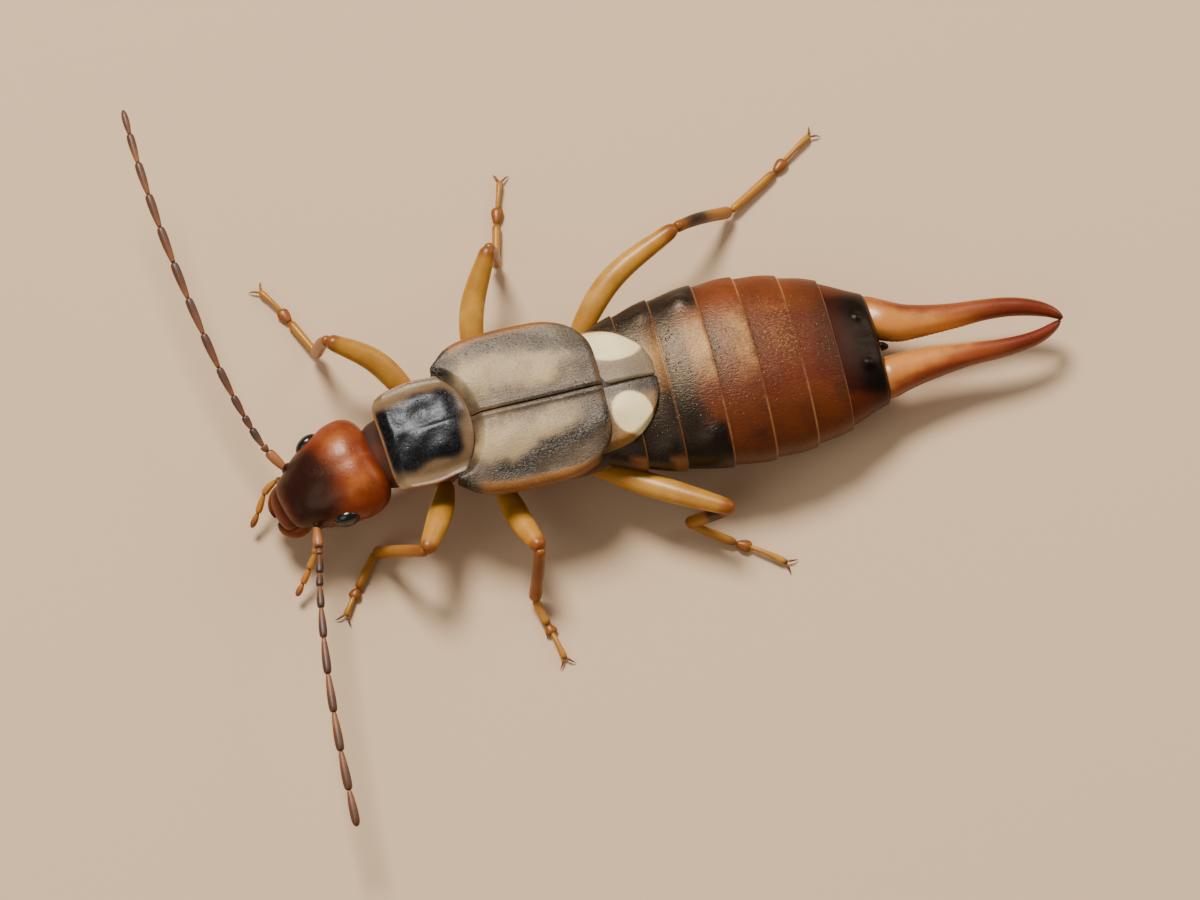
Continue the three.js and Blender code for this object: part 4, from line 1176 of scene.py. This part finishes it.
def makeLeg(name, seed):
    hip, socket, thigh, knee, ankle = (Vector(p) for p in legSizes[name][:5])
    heel, sole, claw = (Vector((*p, footHeight)) for p in legSizes[name][5:])
    outward = Vector((knee.x - hip.x, knee.y - hip.y, 0)).normalized()
    bm = newShape()
    coxaLine = Line([hip, between(hip, socket, 0.5, -0.03), socket])
    loft(bm, coxaLine, tableRings(legSizes["coxa"], 10), 18, part=0)
    femurLine = Line([between(hip, socket, 0.86), thigh, knee])
    loft(bm, femurLine, tableRings(legSizes["femur"], 26), 20, part=1)
    shinLine = Line([between(thigh, knee, 0.965), between(knee, ankle, 0.35, 0.08), ankle])
    loft(bm, shinLine, tableRings(legSizes["tibia"], 22), 16, up=outward, part=2)
    heelHigh = heel + upward * 0.02
    footLine = Line([ankle, between(ankle, heelHigh, 0.5, -0.01), heelHigh])
    loft(bm, footLine, tableRings(legSizes["foot"], 14), 14, part=3)
    padLine = Line([between(ankle, heel, 0.985), sole])
    loft(bm, padLine, tableRings(legSizes["pad"], 10), 16, part=4)
    toeLine = Line([between(heel, sole, 0.82, 0.03), between(sole, claw, 0.5, 0.05), claw])
    loft(bm, toeLine, tableRings(legSizes["toe"], 12), 12, part=5)
    ahead = (claw - sole).normalized()
    across = ahead.cross(upward)
    for side in (1, -1):
        root = claw - ahead * 0.02 + across * side * 0.035
        places = [root, root + ahead * 0.08 + across * side * 0.05 + upward * 0.01,
                  root + ahead * 0.15 + across * side * 0.11 - upward * 0.03,
                  root + ahead * 0.17 + across * side * 0.16 - upward * 0.08]
        loft(bm, Line(places), legSizes["claw"], around=10, part=6)
    hairy = zip((shinLine, footLine, padLine, toeLine, femurLine), legSizes["hairs"])
    for number, (hairLine, (radius, low, high, count, length, thickness)) in enumerate(hairy):
        up = outward if hairLine is shinLine else upward
        roots = hairRoots(hairLine, radius, low, high, count, seed + number, up)
        hairs(bm, roots, length, thickness)
    band = legSizes["darkBand"][name.split("_")[0]]
    stained = 0.9 if name == "middle_left" else 0.0

    # the parts: 0 hip, 1 thigh, 2 shin, 3 foot, 4 pad, 5 toe, 6 claws
    def colourOf(place, run, part):
        if part == 0:
            return 0.1, 0.1, 0.6
        if part == 1:
            warm = max(smoothstep(0.85, 0.97, run), 0.4 * bell(run, 0, 0.1))
            return 0.2 * smoothstep(0.93, 1.0, run), 0.3 * bell(run, 0.5, 0.3), warm
        if part == 2:
            warm = 0.5 + 0.4 * bell(run, 0.0, 0.15)
            warm += max(0.35 * smoothstep(0.8, 1.0, run), stained * bell(run, 0.5, 0.3))
            return band * bell(run, 0.34, 0.21), 0.05, warm
        if part == 3:
            return 0.35 * bell(run, 0.0, 0.06), 0.15, 0.25 + 0.7 * smoothstep(0.75, 1.0, run)
        if part == 4:
            return 0.25 * smoothstep(0.5, 1.0, run), 0.0, 0.9
        if part == 5:
            return 0.75 * smoothstep(0.86, 1.0, run), 0.2, 0.3
        if part == 6:
            return 0.3 + 0.5 * run, 0.0, 0.6
        return 0.3, 0.1, 0.5

    paint(bm, colourOf)
    for v in bm.verts:
        v.co.z = max(v.co.z, 0.004)  # nothing sinks into the floor
    finishPiece(bm, f"leg_{name}_dressed", legHorn, [f"leg_{name}"], smoothing=1)


print("shaping the head")
makeHead()
makeEyes()
makeMouth()
makePalps()
makeFeelers()
print("shaping the back")
makeShield()
makeCovers()
makeWings()
print("shaping the trunk and pincers")
makeTrunk()
makeBelly()
makeTail()
makePincers()
print("shaping the legs")
for number, legName in enumerate(name for name in legSizes if name.endswith(("_right", "_left"))):
    makeLeg(legName, 100 + number * 10)


# Floor, lights and camera

stageSizes = {
    "floorTint": "ccab86",
    "floorHalf": 0.6,
    "cameraPlace": (-5.853, -35.848, 99.794),
    "cameraTarget": (2.56, -1.075, 1.5),
    "lens": 150.0,
    "lightTarget": (3.5, 0.0, 1.0),
    # place in mm, size in mm, power in watts
    "lights": {
        "key": ((-20.0, 120.0, 200.0), 80.0, 0.92),
        "fill": ((-120.0, -90.0, 150.0), 160.0, 0.1),
        "rim": ((150.0, 60.0, 110.0), 110.0, 0.1),
    },
    "sky": (0.95, 0.93, 0.9, 1.0),
    "skyStrength": 0.22,
}


def aimAt(made, place, target):
    made.location = toFrame @ Vector(place)
    made.rotation_mode = "QUATERNION"
    made.rotation_quaternion = (toFrame @ Vector(target) - made.location).to_track_quat("-Z", "Y")


def makeStage():
    bm = bmesh.new()
    bmesh.ops.create_grid(bm, x_segments=1, y_segments=1, size=stageSizes["floorHalf"])
    mesh = bpy.data.meshes.new("floor")
    bm.to_mesh(mesh)
    bm.free()
    floor = addObject("floor", mesh)
    material = bpy.data.materials.new("paleFloor")
    material.use_nodes = True
    shader = next(n for n in material.node_tree.nodes if n.type == "BSDF_PRINCIPLED")
    shader.inputs["Base Color"].default_value = tint(stageSizes["floorTint"])
    shader.inputs["Roughness"].default_value = 0.9
    mesh.materials.append(material)
    for name, (place, size, power) in stageSizes["lights"].items():
        lamp = bpy.data.lights.new(name, "AREA")
        lamp.shape = "DISK"
        lamp.size = size / 1000
        lamp.energy = power
        aimAt(addObject(name, lamp), place, stageSizes["lightTarget"])
    world = bpy.data.worlds.new("sky")
    world.use_nodes = True
    background = next(n for n in world.node_tree.nodes if n.type == "BACKGROUND")
    background.inputs["Color"].default_value = stageSizes["sky"]
    background.inputs["Strength"].default_value = stageSizes["skyStrength"]
    bpy.context.scene.world = world
    lens = bpy.data.cameras.new("camera")
    lens.lens = stageSizes["lens"]
    lens.sensor_width = 36.0
    lens.clip_start = 0.005
    lens.clip_end = 10.0
    camera = addObject("camera", lens)
    aimAt(camera, stageSizes["cameraPlace"], stageSizes["cameraTarget"])
    bpy.context.scene.camera = camera


makeStage()
print("stage set")
